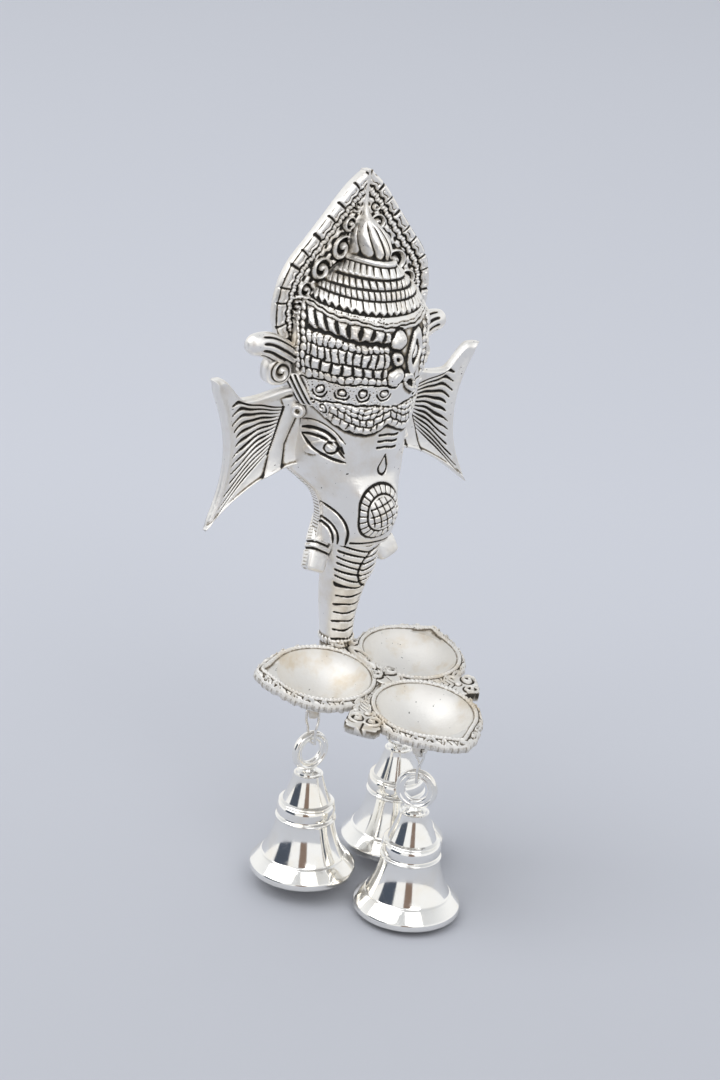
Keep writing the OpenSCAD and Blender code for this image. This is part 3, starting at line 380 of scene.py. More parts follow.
def cap_relief(s, z):
    """Rows of blocks and beads across the cap, the jewels at its middle and the brow band."""
    s, z = wobble(s, z)
    a = np.abs(s)
    band_top = cap_line(-4.8, -0.4, a)
    first = cap_line(-7.2, -2.8, a)
    second = cap_line(-11.2, -8.0, a)
    third = cap_line(-13.6, -12.0, a)
    fourth = cap_line(-18.2, -16.2, a)
    fifth = cap_line(-20.9, -19.9, a)
    last = cap_line(-23.0, -22.6, a)
    h = dome(z - first - 0.6, 0.5, 1.1) + dome(z - band_top + 0.6, 0.45, 0.95)
    h -= 0.55 * soft_step(z - first, 0.3) * soft_step(band_top - z, 0.3)
    rows = block_row(a, z, 3.5, second + 0.6, first, 1.1, 0.35)
    rows += bead_row(a, z, 1.9, third, second - 0.6, 0.95)
    rows += block_row(a + 0.8, z, 2.3, fourth, third, 0.95) + block_row(a, z, 3.2, fifth, fourth, 1.1, 0.35)
    rows += bead_row(a + 0.6, z, 2.2, last, fifth, 0.85)
    chased = np.sin(3.6 * s + 1.5 * np.sin(1.7 * z)) * np.sin(4.3 * z + 1.3 * np.sin(2.1 * s))
    rows -= 0.55 * np.clip(chased - 0.45, 0, 1)
    rows += groove(z - second, 0.7, 0.35)
    open_side = soft_step(a - 3.3, 0.3) * np.where(s > 0, soft_step(a - 15.0, 0.4), 1.0)
    h += rows * open_side * soft_step(29.5 - a, 0.8)
    fringe = bead_row(z, a - 0.05 * z, 2.3, 30.2, 32.2, 0.8)
    fringe += bead_row(z + 0.9, a - 0.05 * z, 1.7, 32.6, 34.2, 0.6)
    h += fringe * soft_step(z + 22, 0.8)
    for middle, radius in ((-9.6, 2.7), (-21.2, 2.8)):
        away = np.hypot(a, z - middle)
        boss = dome(away, radius, 1.7) + groove(away - radius - 0.4, 0.45, 0.4)
        boss += groove(away - 1.3, 0.3, 0.15)
        h = np.where(away < radius + 0.8, boss, h)
    away = np.hypot(a, z + 15.4)
    h = np.where(away < 2.5, dome(away - 1.35, 0.85, 1.1) + groove(away, 0.7, 0.5), h)
    leaf = np.hypot((s - 7.2 - 0.15 * (z + 14)) / 2.7, (z + 14.0) / 6.6)
    right = dome(leaf - 0.8, 0.3, 1.0) + dome(leaf, 0.3, 0.6) + groove(leaf - 0.42, 0.14, 0.3)
    tail = np.hypot((s - 6.6 + 0.6 * (z + 23.6)) / 2.6, (z + 23.6) / 3.2)
    right += dome(tail - 0.75, 0.32, 0.8)
    right += bead_row(z, s, 2.2, 11.4, 13.8, 0.9) * soft_step(z + 24, 1) * soft_step(-6 - z, 1)
    h += np.where(s > 2.6, right, 0)
    ring = np.hypot(in_cell(a - 3.2, 6.75), z + 25.9)
    lower = np.clip((-25.4 - z) / 1.6, 0, 1)
    band = groove(ring - 2.4, 0.5, 0.6) * lower + groove(ring - 1.2, 0.42, 0.6) + dome(ring, 0.75, 0.6)
    h += band * np.where(s > 0, soft_step(a - 9, 0.5), 1) * soft_step(27.0 - a, 0.6)
    h += groove(z - last + 0.3, 0.4, 0.5) + groove(z + 30.6 - 0.11 * np.minimum(a, 10), 0.42, 0.6)
    brow = curve([(0, -36.6), (7, -39.2), (13, -38.2), (20, -34.8), (27, -31.4), (34, -30.0)], a)
    above = z - brow
    bricks = block_row(a, above, 2.4, 0.0, 2.5, 0.75) + block_row(a + 1.1, above, 2.4, 2.6, 5.0, 0.75)
    knots = spiral(in_cell(a, 4.4), above - 2.4, (0, 0), 2.1, 1.6, 0.6)
    side = soft_step(a - 19.0, 0.8)
    h += (bricks * (1 - side) + knots * side) * soft_step(-29.8 - z, 0.3)
    seeds = bead_row(a, in_cell(above - 6.0, 1.7), 1.9, -0.8, 0.8, 0.6)
    h += seeds * soft_step(above - 5.1, 0.3) * soft_step(-29.8 - z, 0.3)
    raised = soft_step(above + 0.15, 0.4) * soft_step(36.0 - a, 1.0)
    return (h + 0.45) * raised


def face_relief(s, z):
    """Eyes, brow lines, cheek folds, the marks down the middle of the face and the medallion."""
    a = np.abs(s)
    brow = [(28.2, -40.0), (24.0, -39.4), (19.4, -40.0), (15.6, -42.4), (12.6, -46.0)]
    lid = [(28.0, -41.9), (24.0, -41.5), (19.4, -42.0), (15.6, -44.3), (12.2, -47.4)]
    under = [(27.8, -42.2), (24.5, -44.5), (20.5, -46.4), (16.5, -47.9), (11.6, -49.0)]
    crease = [(29.0, -37.4), (25.0, -36.7), (21.0, -37.2), (16.6, -39.3), (12.6, -42.8)]
    h = line_cut(a, z, brow, 0.95, 0.85) + line_cut(a, z, lid, 0.7, 0.7)
    h += line_cut(a, z, under, 0.75, 0.7) + line_cut(a, z, crease, 0.45, 0.35)
    ball = np.hypot((a - 19.5 - 0.6 * (z + 44.6)) / 8.0, (z + 44.6 + 0.35 * (a - 19.5)) / 2.4)
    h += dome(ball, 1.0, 0.6)
    iris = np.hypot((a - 16.9) / 1.2, z + 44.6)
    h += groove(iris - 1.8, 0.55, 0.65) + dome(iris, 0.9, 0.4)
    for height in (-40.2, -42.3, -44.4):
        wave = height - 0.1 * s + 0.12 * np.sin(1.2 * s)
        h += groove(z - wave, 0.6, 0.65) * soft_step(4.6 - np.abs(s - 2.0), 0.8)
    drop = [(0, -47.2), (1.0, -49.6), (1.7, -51.6), (1.2, -53.2), (0, -53.9)]
    h += groove(along_line(np.abs(s - 2.0), z, rounded(drop))[0], 0.55, 0.6)
    left = s + 0.8 - 0.12 * (z + 65)
    oval = np.hypot(left / 8.3, (z + 64.9) / 8.6)
    around = np.degrees(np.arctan2(left / 8.3, (z + 64.9) / 8.6))
    h += groove((oval - 1.0) * 8.0, 0.6, 0.65) + groove((oval - 0.66) * 8.0, 0.5, 0.6)
    bricks = groove(in_cell(around, 16.4) * 0.115, 0.36, 0.55)
    h += bricks * soft_step(oval - 0.66, 0.04) * soft_step(1.0 - oval, 0.04)
    lattice = groove(in_cell(s + 0.3 * z, 2.2), 0.38, 0.5) + groove(in_cell(z - 0.3 * s, 2.3), 0.38, 0.5)
    h += lattice * soft_step(0.62 - oval, 0.08) + dome(oval, 1.05, 0.6)
    for fold in ([(24.0, -65.0), (18.0, -66.4), (13.8, -68.8), (11.2, -71.8), (10.0, -74.8), (9.4, -77.2)],
                 [(23.0, -69.5), (18.0, -70.7), (14.8, -72.7), (12.8, -75.3), (12.0, -77.2)],
                 [(22.6, -70.9), (18.4, -72.0), (15.8, -73.9), (14.2, -76.0), (13.6, -77.2)]):
        h += line_cut(a, z, fold, 0.7, 0.75)
    h += groove(z + 75.8, 0.6, 0.7) * soft_step(9.0 - a, 0.8)
    h += line_cut(a, z, [(29.4, -37.6), (30.2, -42.0), (31.6, -48.0), (33.6, -55.0)], 0.8, 0.9)
    return h


def blurred(height, reach):
    """Mean height round each place, from three passes of a running mean each way."""
    result = height
    width = 2 * reach + 1
    for axis in (0, 1, 0, 1, 0, 1):
        pad = [(reach + 1, reach) if k == axis else (0, 0) for k in (0, 1)]
        total = np.cumsum(np.pad(result, pad, mode="edge"), axis=axis)
        far = np.take(total, range(width, total.shape[axis]), axis=axis)
        near = np.take(total, range(0, total.shape[axis] - width), axis=axis)
        result = (far - near) / width
    return result


def recess_of(height, reach=4, full=0.24):
    return np.clip((blurred(height, reach) - height) / full, 0, 1)


def carved(base, height):
    """Moves a grid of places outwards by a height, square to the surface."""
    down = np.gradient(base, axis=0)
    across = np.gradient(base, axis=1)
    normal = np.cross(across, down)
    normal /= np.maximum(np.linalg.norm(normal, axis=2, keepdims=True), 1e-9)
    return base + normal * height[..., None]


def make_object(name, bm, material, crease=None):
    for face in bm.faces:
        face.smooth = True
    if crease is not None:
        for edge in bm.edges:
            edge.smooth = len(edge.link_faces) != 2 or edge.calc_face_angle() < crease
    mesh = bpy.data.meshes.new(name)
    bm.to_mesh(mesh)
    bm.free()
    mesh.materials.append(material)
    piece = bpy.data.objects.new(name, mesh)
    bpy.context.scene.collection.objects.link(piece)
    return piece


def wrapped_sheet(name, rings, recess, material, flat_ends=False):
    """A closed piece from rows of places, each row a ring round the piece."""
    rows, columns = recess.shape
    bm = bmesh.new()
    bmesh.ops.create_grid(bm, x_segments=columns, y_segments=rows - 1, size=1.0)
    layer = bm.verts.layers.float.new("recess")
    for vert in bm.verts:
        i = int(round((vert.co.y + 1) / 2 * (rows - 1)))
        j = int(round((vert.co.x + 1) / 2 * columns)) % columns
        vert.co = rings[i, j] * MM
        vert[layer] = recess[i, j]
    bmesh.ops.remove_doubles(bm, verts=bm.verts, dist=2e-6)
    rims = [edge for edge in bm.edges if edge.is_boundary]
    bmesh.ops.holes_fill(bm, edges=rims, sides=0)
    bmesh.ops.recalc_face_normals(bm, faces=bm.faces)
    for edge in rims:
        edge.smooth = not flat_ends
    return make_object(name, bm, material)


def on_casting(piece):
    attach(piece, "wall_mask")
    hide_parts("mask")


def side_wall(start, stop):
    """Columns across the cut edge of the casting, a little rounded."""
    share = np.linspace(0, 1, 12)[1:-1]
    wall = start[:, None] * (1 - share)[:, None] + stop[:, None] * share[:, None]
    wall[..., 0] *= 1 + 0.012 * np.sin(math.pi * share)
    return wall


def head_rings(low, high, step):
    """Rows of the head between two heights, front and hollow back, and their recess."""
    front_columns = 374
    z = np.linspace(low, high, int(round((high - low) / step)) + 1)
    edge = head_edge(z)
    fine = np.linspace(-1, 1, 900)
    x_fine = edge[:, None] * fine
    z_fine = np.repeat(z[:, None], fine.size, axis=1)
    d_fine = front_depth(x_fine, z_fine)
    run = np.cumsum(np.hypot(np.diff(x_fine, axis=1), np.diff(d_fine, axis=1)), axis=1)
    run = np.concatenate([np.zeros((z.size, 1)), run], axis=1)
    share = np.linspace(0, 1, front_columns)
    x = np.stack([np.interp(share * r[-1], r, xs) for r, xs in zip(run, x_fine)])
    s = (share - 0.5) * run[:, -1:]
    zz = np.repeat(z[:, None], front_columns, axis=1)
    base = np.stack([x, -front_depth(x, zz), zz], axis=2)
    on_cap = soft_step(tier_line(-2.8, 0.8, x, zz) - zz, 0.3)
    on_tiers = soft_step(zz - tier_line(-3.0, 0.6, x, zz), 0.2)
    height = crown_relief(x, zz) + tier_relief(x, s, zz) * on_tiers
    height += cap_relief(s, zz) * on_cap + face_relief(s, zz) * soft_step(-21.0 - zz, 0.5)
    front = carved(base, height)
    least = np.maximum(0.6, curve(rim_line, zz) - 2.6)
    front[..., 1] = np.minimum(front[..., 1], -least)
    half = np.minimum(np.maximum(0.5, curve(dome_outline, z) - WALL), edge * 0.9)[:, None]
    border = half + (edge[:, None] - half) * np.linspace(1, 0, 8)[:-1]
    hollow = half * np.cos(np.linspace(0, math.pi, 34))
    back_x = np.concatenate([border, hollow, -border[:, ::-1]], axis=1)
    back_z = np.repeat(z[:, None], back_x.shape[1], axis=1)
    back = np.stack([back_x, -back_depth(back_x, back_z), back_z], axis=2)
    right = side_wall(front[:, -1], back[:, 0])
    left = side_wall(back[:, -1], front[:, 0])
    file_marks = 0.5 * (0.5 + 0.5 * np.sin(7.1 * z + 1.3 * np.sin(0.9 * z))) ** 2 * soft_step(-46 - z, 8)
    filed = np.repeat(file_marks[:, None], right.shape[1], axis=1)
    recess = np.concatenate([recess_of(height), filed, np.zeros(back_x.shape), filed], axis=1)
    rings = np.concatenate([front, right, back, left], axis=1)
    rings[..., 0] += head_lean(rings[..., 2])
    return rings, recess


for part, low, high, step in (("mask_face", CHIN, -29.0, 0.22), ("mask_cap", -29.0, -5.0, 0.2),
                              ("mask_crown", -5.0, CROWN_TOP, 0.2)):
    on_casting(wrapped_sheet(part, *head_rings(low, high, step), antique_silver, True))

# The ears, cast on with the head: thin flared leaves with a smooth rolled rim.
# A fan of wavy grooves runs from the root to the rim, each filled with black oxide.
EAR_ROOT = 18.6
EAR_SPAN = 101.0
EAR_TOP = -21.5
EAR_LOW = -69.5
EAR_WALL = 2.8


def ear_places(u, v):
    """Places on an ear's front, from its root out to the rim and from low to high."""
    near_corner = np.exp(-((1 - u) / 0.08) ** 2 - (np.minimum(v, 1 - v) / 0.07) ** 2)
    u = np.maximum(0, u - 0.05 * near_corner)
    root = EAR_ROOT + 2.4 * soft_step(v - 0.7, 0.28)
    x = root + (EAR_SPAN / 2 - 5.4 + 8.4 * (2 * v - 1) ** 2 - root) * u
    low = EAR_LOW - 1.6 + 18.2 * (1 - u ** 1.7)
    high = EAR_TOP - 5.3 - 2.4 * soft_step(u, 0.5) + 7.8 * soft_step(u - 0.55, 0.31)
    depth = 5 + 1.2 * np.abs(2 * v - 1) ** 3 + 1.2 * u ** 4 + 2 * (1 - u) ** 3
    return np.stack([x, -depth, low + (high - low) * v], axis=2)


def ear_height(u, v):
    """The fan of grooves, which droop towards the rim, and the rolled rim round them."""
    count = 12
    z = ear_places(u, v)[..., 2]
    first = curve([(0.15, -34.0), (0.5, -32.2), (0.75, -31.6), (0.95, -31.8)], u)
    last = EAR_LOW - 1.6 + 18.2 * (1 - u ** 1.7)
    last += curve([(0.2, 8.5), (0.37, 7.5), (0.6, 5.7), (0.87, 2.2), (1.0, 1.6)], u)
    spread = (z - last) / (first - last)
    spread -= 0.05 * np.sin(math.pi * np.clip((u - 0.2) / 0.75, 0, 1))
    spread += 0.026 * np.sin(9.5 * u + 5 * v) * (1.1 - 0.7 * v) + 0.009 * np.sin(23 * u + 9 * v)
    line = np.round(spread * count)
    spacing = (first - last) / count
    off = (spread * count - line) * spacing
    root = 0.38 - 0.18 * np.clip(spread, 0, 1)
    end = 0.89 + 0.025 * np.sin(7.7 * line)
    inside = soft_step(spread + 0.05, 0.02) * soft_step(1.05 - spread, 0.02)
    full = soft_step(u - root, 0.14) * soft_step(end - u, 0.22)
    width = (0.15 + 0.2 * full + 0.06 * np.sin(5.1 * line + 13 * u)) * spacing
    h = groove(off, width, 1.0) * inside * soft_step(u - root, 0.03) * soft_step(end - u, 0.05)
    h += groove((u - root) * 32, 0.5, 0.8) * inside
    h += 0.5 * soft_step(u - 0.87, 0.11) + 0.6 * soft_step(v - 0.88, 0.09) + 0.6 * soft_step(0.06 - v, 0.05)
    h += dome(u - root + 0.1, 0.09, 0.8) * soft_step(0.9 - v, 0.06)
    h += groove(in_cell(v * 46 + 9 * u, 1.1), 0.22, 0.1) * soft_step(u - 0.94, 0.02) * soft_step(0.4 - v, 0.2)
    return h


def make_ear(name, side):
    columns, rows = 150, 190
    u, v = np.meshgrid(np.linspace(0, 1, columns), np.linspace(0, 1, rows))
    height = ear_height(u, v)
    front = ear_places(u, v)
    middle = front + np.array([0, EAR_WALL / 2, 0])
    back = front + np.array([0, EAR_WALL, 0])
    back[..., 1] -= 0.8 * np.clip(1 - (1 - u) * 20, 0, 1)
    front[..., 1] -= height * 0.8
    roll = np.minimum((1 - u) * 30, np.minimum(v, 1 - v) * 42)
    front[..., 1] += 1.1 * np.clip(1 - roll / 1.6, 0, 1) ** 2
    front = np.concatenate([middle[:1], front, middle[-1:]])
    back = np.concatenate([middle[:1], back, middle[-1:]])
    rings = np.concatenate([front, back[:, ::-1]], axis=1)
    rings[..., 0] *= side
    plain_tip = soft_step(u - 0.74, 0.1) * soft_step(v - 0.82, 0.06)
    recess = np.pad(recess_of(height) * (1 - plain_tip), ((1, 1), (0, columns)))
    on_casting(wrapped_sheet(name, rings, recess, antique_silver))


make_ear("mask_ear_left", -1)
make_ear("mask_ear_right", 1)

# The trunk, cast on below the chin: it tapers down to a flat foot on the tray.
# Wrinkles are cut across its front only, and a forked fold runs down from its root.
TRAY_OUT = 36.6
TRAY_DROP = 118.0
TRAY_TILT = math.radians(7)
FOOT_OUT = 27.1
trunk_foot = (-TRAY_OUT + FOOT_OUT * math.cos(TRAY_TILT), -TRAY_DROP + FOOT_OUT * math.sin(TRAY_TILT))


def round_rings(path, columns, height_of):
    """Rings round a path of (place, radius) rows, carved by a height over turn and row."""
    middle = np.array([p for p, r in path], float)
    radius = np.array([r for p, r in path], float)
    turn = np.linspace(-180, 180, columns, endpoint=False)
    turns, rows = np.meshgrid(turn, np.arange(len(path)))
    height = height_of(turns, middle[rows])
    reach = radius[rows] + height
    out = np.stack([np.sin(np.radians(turns)), -np.cos(np.radians(turns)), np.zeros(turns.shape)], axis=2)
    return middle[:, None, :] + reach[..., None] * out, height


def trunk_path(rows):
    z = np.linspace(-69, trunk_foot[1] - 0.9, rows)
    drop = (-76 - z) / (-76 - trunk_foot[1])
    y = curve([(-0.2, -14.6), (0, -13.8), (0.18, -13.0), (0.31, -11.9), (0.41, -11.1), (0.59, -9.8),
               (0.83, -9.1), (1.03, trunk_foot[0])], drop)
    r = curve([(-0.2, 10.4), (0, 10), (0.18, 9), (0.31, 8.4), (0.41, 7.9), (0.59, 7.0), (0.83, 5.8),
               (1.03, 5.2)], drop)
    return [((0.0, yy, zz), rr) for yy, zz, rr in zip(y, z, r)]


def trunk_height(turn, place):
    z = place[..., 2]
    low = soft_step(-z - 90, 6)
    arc = np.abs(turn) * 0.13
    sag = z - (0.30 * (1 - low) + 0.05 * low) * arc + 0.15 * np.sin(0.09 * turn + z)
    count = np.where(sag > -94, (-77.6 - sag) / 2.35, 16.4 / 2.35 + (-94 - sag) / 3.2)
    line = np.round(count)
    cut = groove((count - line) * 2.5, 0.62 - 0.22 * low, 0.8 - 0.2 * low)
    cut *= soft_step(68 - 10 * low - np.abs(turn) + 6 * np.sin(3.1 * line), 8) * soft_step(-76.8 - z, 0.6)
    across = turn * 0.14
    bend = [(1.6, -79.0), (-0.8, -83.4), (-1.2, -88.0), (1.2, -92.4), (5.0, -94.4)]
    fold = line_cut(across, z, bend, 0.7, 0.8)
    fork = line_cut(across, z, [(0.2, -81.4), (3.0, -79.2), (6.4, -77.6)], 0.6, 0.7)
    swell = 0.9 * np.exp(-((turn - 34) / 26) ** 2 - ((z + 88) / 4.5) ** 2)
    flat = 0.2 * soft_step(56 - np.abs(turn), 12) * low
    foot = bead_row(turn, z, 15.0, trunk_foot[1] - 0.4, trunk_foot[1] + 2.0, 0.7)
    return cut + fold + fork + swell - flat + foot


trunk_rings, trunk_cut = round_rings(trunk_path(200), 208, trunk_height)
on_casting(wrapped_sheet("mask_trunk", trunk_rings, recess_of(trunk_cut, 4, 0.28), antique_silver))

# The tusks, short stubs cast on beside the trunk's root.
# Each is a flat-sided stub with two rings cut round it, filed on its sides and sawn off flat.


def swept_rings(points, radii, columns, lines_of, end, flat, square=2.0):
    """Rings square to a path through points, flattened front to back, with lines cut in them.

    The end gives where the tip starts to round off, over what share of the path, by how much
    and how sharply.
    """
    p = np.array(points, float)
    run = np.concatenate([[0], np.cumsum(np.linalg.norm(np.diff(p, axis=0), axis=1))])
    at = np.linspace(0, run[-1], 90)
    path = np.stack([curve(list(zip(run, p[:, k])), at) for k in range(3)], axis=1)
    radius = curve(list(zip(run, radii)), at)
    ahead = np.gradient(path, axis=0)
    ahead /= np.linalg.norm(ahead, axis=1, keepdims=True)
    side = np.cross(ahead, np.array([0.0, -1.0, 0.0]))
    side /= np.linalg.norm(side, axis=1, keepdims=True)
    front = np.cross(side, ahead)
    turn = np.linspace(-180, 180, columns, endpoint=False)
    turns, runs = np.meshgrid(turn, at)
    share = runs / run[-1]
    lines = lines_of(turns, share)
    start, span, drop, power = end
    height = lines - drop * np.clip((share - start) / span, 0, 1) ** power
    angle = np.radians(turns)[..., None]
    corner = (np.abs(np.cos(angle)) ** square + np.abs(np.sin(angle)) ** square) ** (-1 / square)
    reach = (radius[:, None] + height)[..., None] * corner
    out = np.sin(angle) * side[:, None, :] + flat * np.cos(angle) * front[:, None, :]
    return path[:, None, :] + reach * out, lines


def tusk_lines(turn, share):
    return groove((share - 0.53) * 17, 0.55, 0.7) + groove((share - 0.65) * 17, 0.55, 0.7)


def make_tusk(name, side):
    points = [(8.2 * side, -8.4, -71), (11.0 * side, -10.9, -78), (13.4 * side, -12.8, -82.6),
              (15.2 * side, -14.0, -86.8)]
    columns = 84
    sawn_off = (0.93, 0.07, 1.2, 3)
    rings, lines = swept_rings(points, [3.2, 4.2, 4.1, 3.8], columns, tusk_lines, sawn_off, 0.66, 3.6)
    turn, share = np.meshgrid(np.linspace(-180, 180, columns, endpoint=False), np.linspace(0, 1, len(rings)))
    filed = 0.4 * soft_step(25 - np.abs(np.abs(turn) - 90), 10) * (0.5 + 0.5 * np.sin(110 * share))
    recess = np.maximum(recess_of(lines, 3, 0.25), filed)
    on_casting(wrapped_sheet(name, rings, recess, antique_silver))


make_tusk("mask_tusk_left", -1)
make_tusk("mask_tusk_right", 1)

# The side ornaments, cast on between the crown and the ears: a grooved leaf that turns
# outwards over a scroll, and a tassel of three bars with a knotted ring under it.


def leaf_lines(turn, share):
    lines = groove(in_cell(turn - 12, 36.0) * 0.055, 0.6, 0.8)
    return lines * soft_step(0.78 - share, 0.12) * soft_step(84 - np.abs(turn), 15)


def make_side_leaf(name, side):
    points = [((23.2 + side) * side, -4.0, -18.4), (27.0 * side, -4.6, -15.5), (32.0 * side, -4.4, -13.1),
              (38.4 * side, -3.8, -12.9)]
    round_tip = (0.82, 0.18, 1.5, 2.6)
    rings, lines = swept_rings(points, [4.0, 4.4, 4.0, 3.0], 96, leaf_lines, round_tip, 0.85)
    on_casting(wrapped_sheet(name, rings, recess_of(lines, 3, 0.25), antique_silver))


def make_boss(name, side, middle, turn, size, square, lean, rise, relief_of):
    """A raised pad on the side of the head, turned outwards by an angle."""
    columns, rows = 132, 46
    around = np.linspace(-math.pi, math.pi, columns, endpoint=False)
    angle, out = np.meshgrid(around, np.linspace(1, 0, rows))
    corner = (np.abs(np.cos(angle)) ** square + np.abs(np.sin(angle)) ** square) ** (-1 / square)
    across = size[0] * corner * np.sin(angle) * out
    up = size[1] * corner * np.cos(angle) * out
    height = relief_of(across, up)
    lift = rise * np.sqrt(np.clip(1 - out ** 4, 0, 1)) + height
    lift = np.concatenate([np.full((1, columns), -0.4), lift])
    across = np.concatenate([across[:1], across]) + lean * np.concatenate([up[:1], up])
    up = np.concatenate([up[:1], up])
    c = math.cos(math.radians(turn))
    s = math.sin(math.radians(turn))
    x = middle[0] + across * c + lift * s
    y = np.minimum(-0.6, middle[1] + across * s - lift * c)
    z = middle[2] + up
    y[0] = np.maximum(y[0], 0.9 - front_depth(x[0] * side - head_lean(z[0]), z[0]))
    rings = np.stack([x * side, y, z], axis=2)
    recess = recess_of(height, 3, 0.26)
    recess = np.concatenate([recess[:1], recess], axis=0)
    on_casting(wrapped_sheet(name, rings, recess, antique_silver))


def scroll_relief(across, up):
    return spiral(across, up, (-0.2, 0.2), 3.4, 1.2, 1.0)


def tassel_relief(across, up):
    return groove(in_cell(across - 0.85, 1.7), 0.55, 1.1) * soft_step(4.7 - np.abs(up), 0.5)


def knot_relief(across, up):
    away = np.hypot(across, up)
    return dome(away - 1.55, 0.9, 1.0) + groove(away, 0.8, 1.0)


for word, side in (("left", -1), ("right", 1)):
    make_side_leaf("mask_leaf_" + word, side)
    scroll_place = (27.2, -4.8, -21.8)
    make_boss("mask_scroll_" + word, side, scroll_place, 8, (4.6, 4.5), 2.4, 0.0, 3.0, scroll_relief)
    tassel_place = (21.7 + side, -8.8, -27.3)
    make_boss("mask_tassel_" + word, side, tassel_place, 50, (3.4, 5.0), 5, 0.6, 2.0, tassel_relief)
    knot_place = (20.4 + 0.5 * side, -7.6, -34.6)
    make_boss("mask_knot_" + word, side, knot_place, 50, (2.7, 2.7), 2, 0.0, 1.4, knot_relief)

# The tray's three bowls, one casting screwed under the trunk: leaf-shaped oil bowls.
# Each has a smooth pearly hollow with a spout, a roped line round it and a border of
# scrolls outside. The tray is lightly buffed, so little oxide is left in it.
satin_silver = cast_silver("satin silver", 0.9, 0.6, 0.52, 0.9, (0.86, 0.845, 0.815, 1), 0.3)
BOWL_TURNS = {"left": 150, "front": 270, "right": 30}
BOWL_OUT = 20.2
BOWL_R = 15.0
BOWL_SPHERE = 16.592
BOWL_UP = 7.092
BOWL_WALL = 1.8
PETAL_R = 18.3
TIP_AWAY = 19.1
TIP_R = 2.5
SPOUT_AWAY = 11.3
SPOUT_SPHERE = 7.786
SPOUT_UP = 4.286
SPOUT_FLOOR = -0.6
RIM_T = 2.4


def on_tray(p):
    """Places of the tray's own plane, moved to where the tray hangs."""
    y = p[..., 1] * math.cos(TRAY_TILT) - p[..., 2] * math.sin(TRAY_TILT) - TRAY_OUT
    z = p[..., 1] * math.sin(TRAY_TILT) + p[..., 2] * math.cos(TRAY_TILT) - TRAY_DROP
    return np.stack([p[..., 0], y, z], axis=-1)


def in_tray(piece):
    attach(piece, "wall_mask")
    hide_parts("diya_tray")


def petal_line(radius, end_radius, away, steps=140):
    """Outline of a round end drawn out to a blunt tip, as a closed line."""
    lean = math.acos((radius - end_radius) / away)
    big = np.linspace(lean, 2 * math.pi - lean, steps)
    tip = np.linspace(-lean, lean, steps // 5)
    points = [(radius * math.cos(t), radius * math.sin(t)) for t in big]
    points += [(away + end_radius * math.cos(t), end_radius * math.sin(t)) for t in tip]
    return points + points[:1]


def reach_of(line, turn):
    """Distance from the middle to a closed line, in each direction."""
    p = np.array(line[:-1])
    angle = np.arctan2(p[:, 1], p[:, 0])
    order = np.argsort(angle)
    return np.interp(turn, angle[order], np.hypot(p[:, 0], p[:, 1])[order], period=2 * math.pi)


def petal_distance(a, b, radius, end_radius, away):
    """Distance outside a petal outline, less than 0 inside it."""
    lean = (radius - end_radius) / away
    side = math.sqrt(1 - lean * lean)
    along = -lean * np.abs(b) + side * a
    flank = side * np.abs(b) + lean * a - radius
    tip = np.hypot(a - away, b) - end_radius
    return np.where(along < 0, np.hypot(a, b) - radius, np.where(along > side * away, tip, flank))


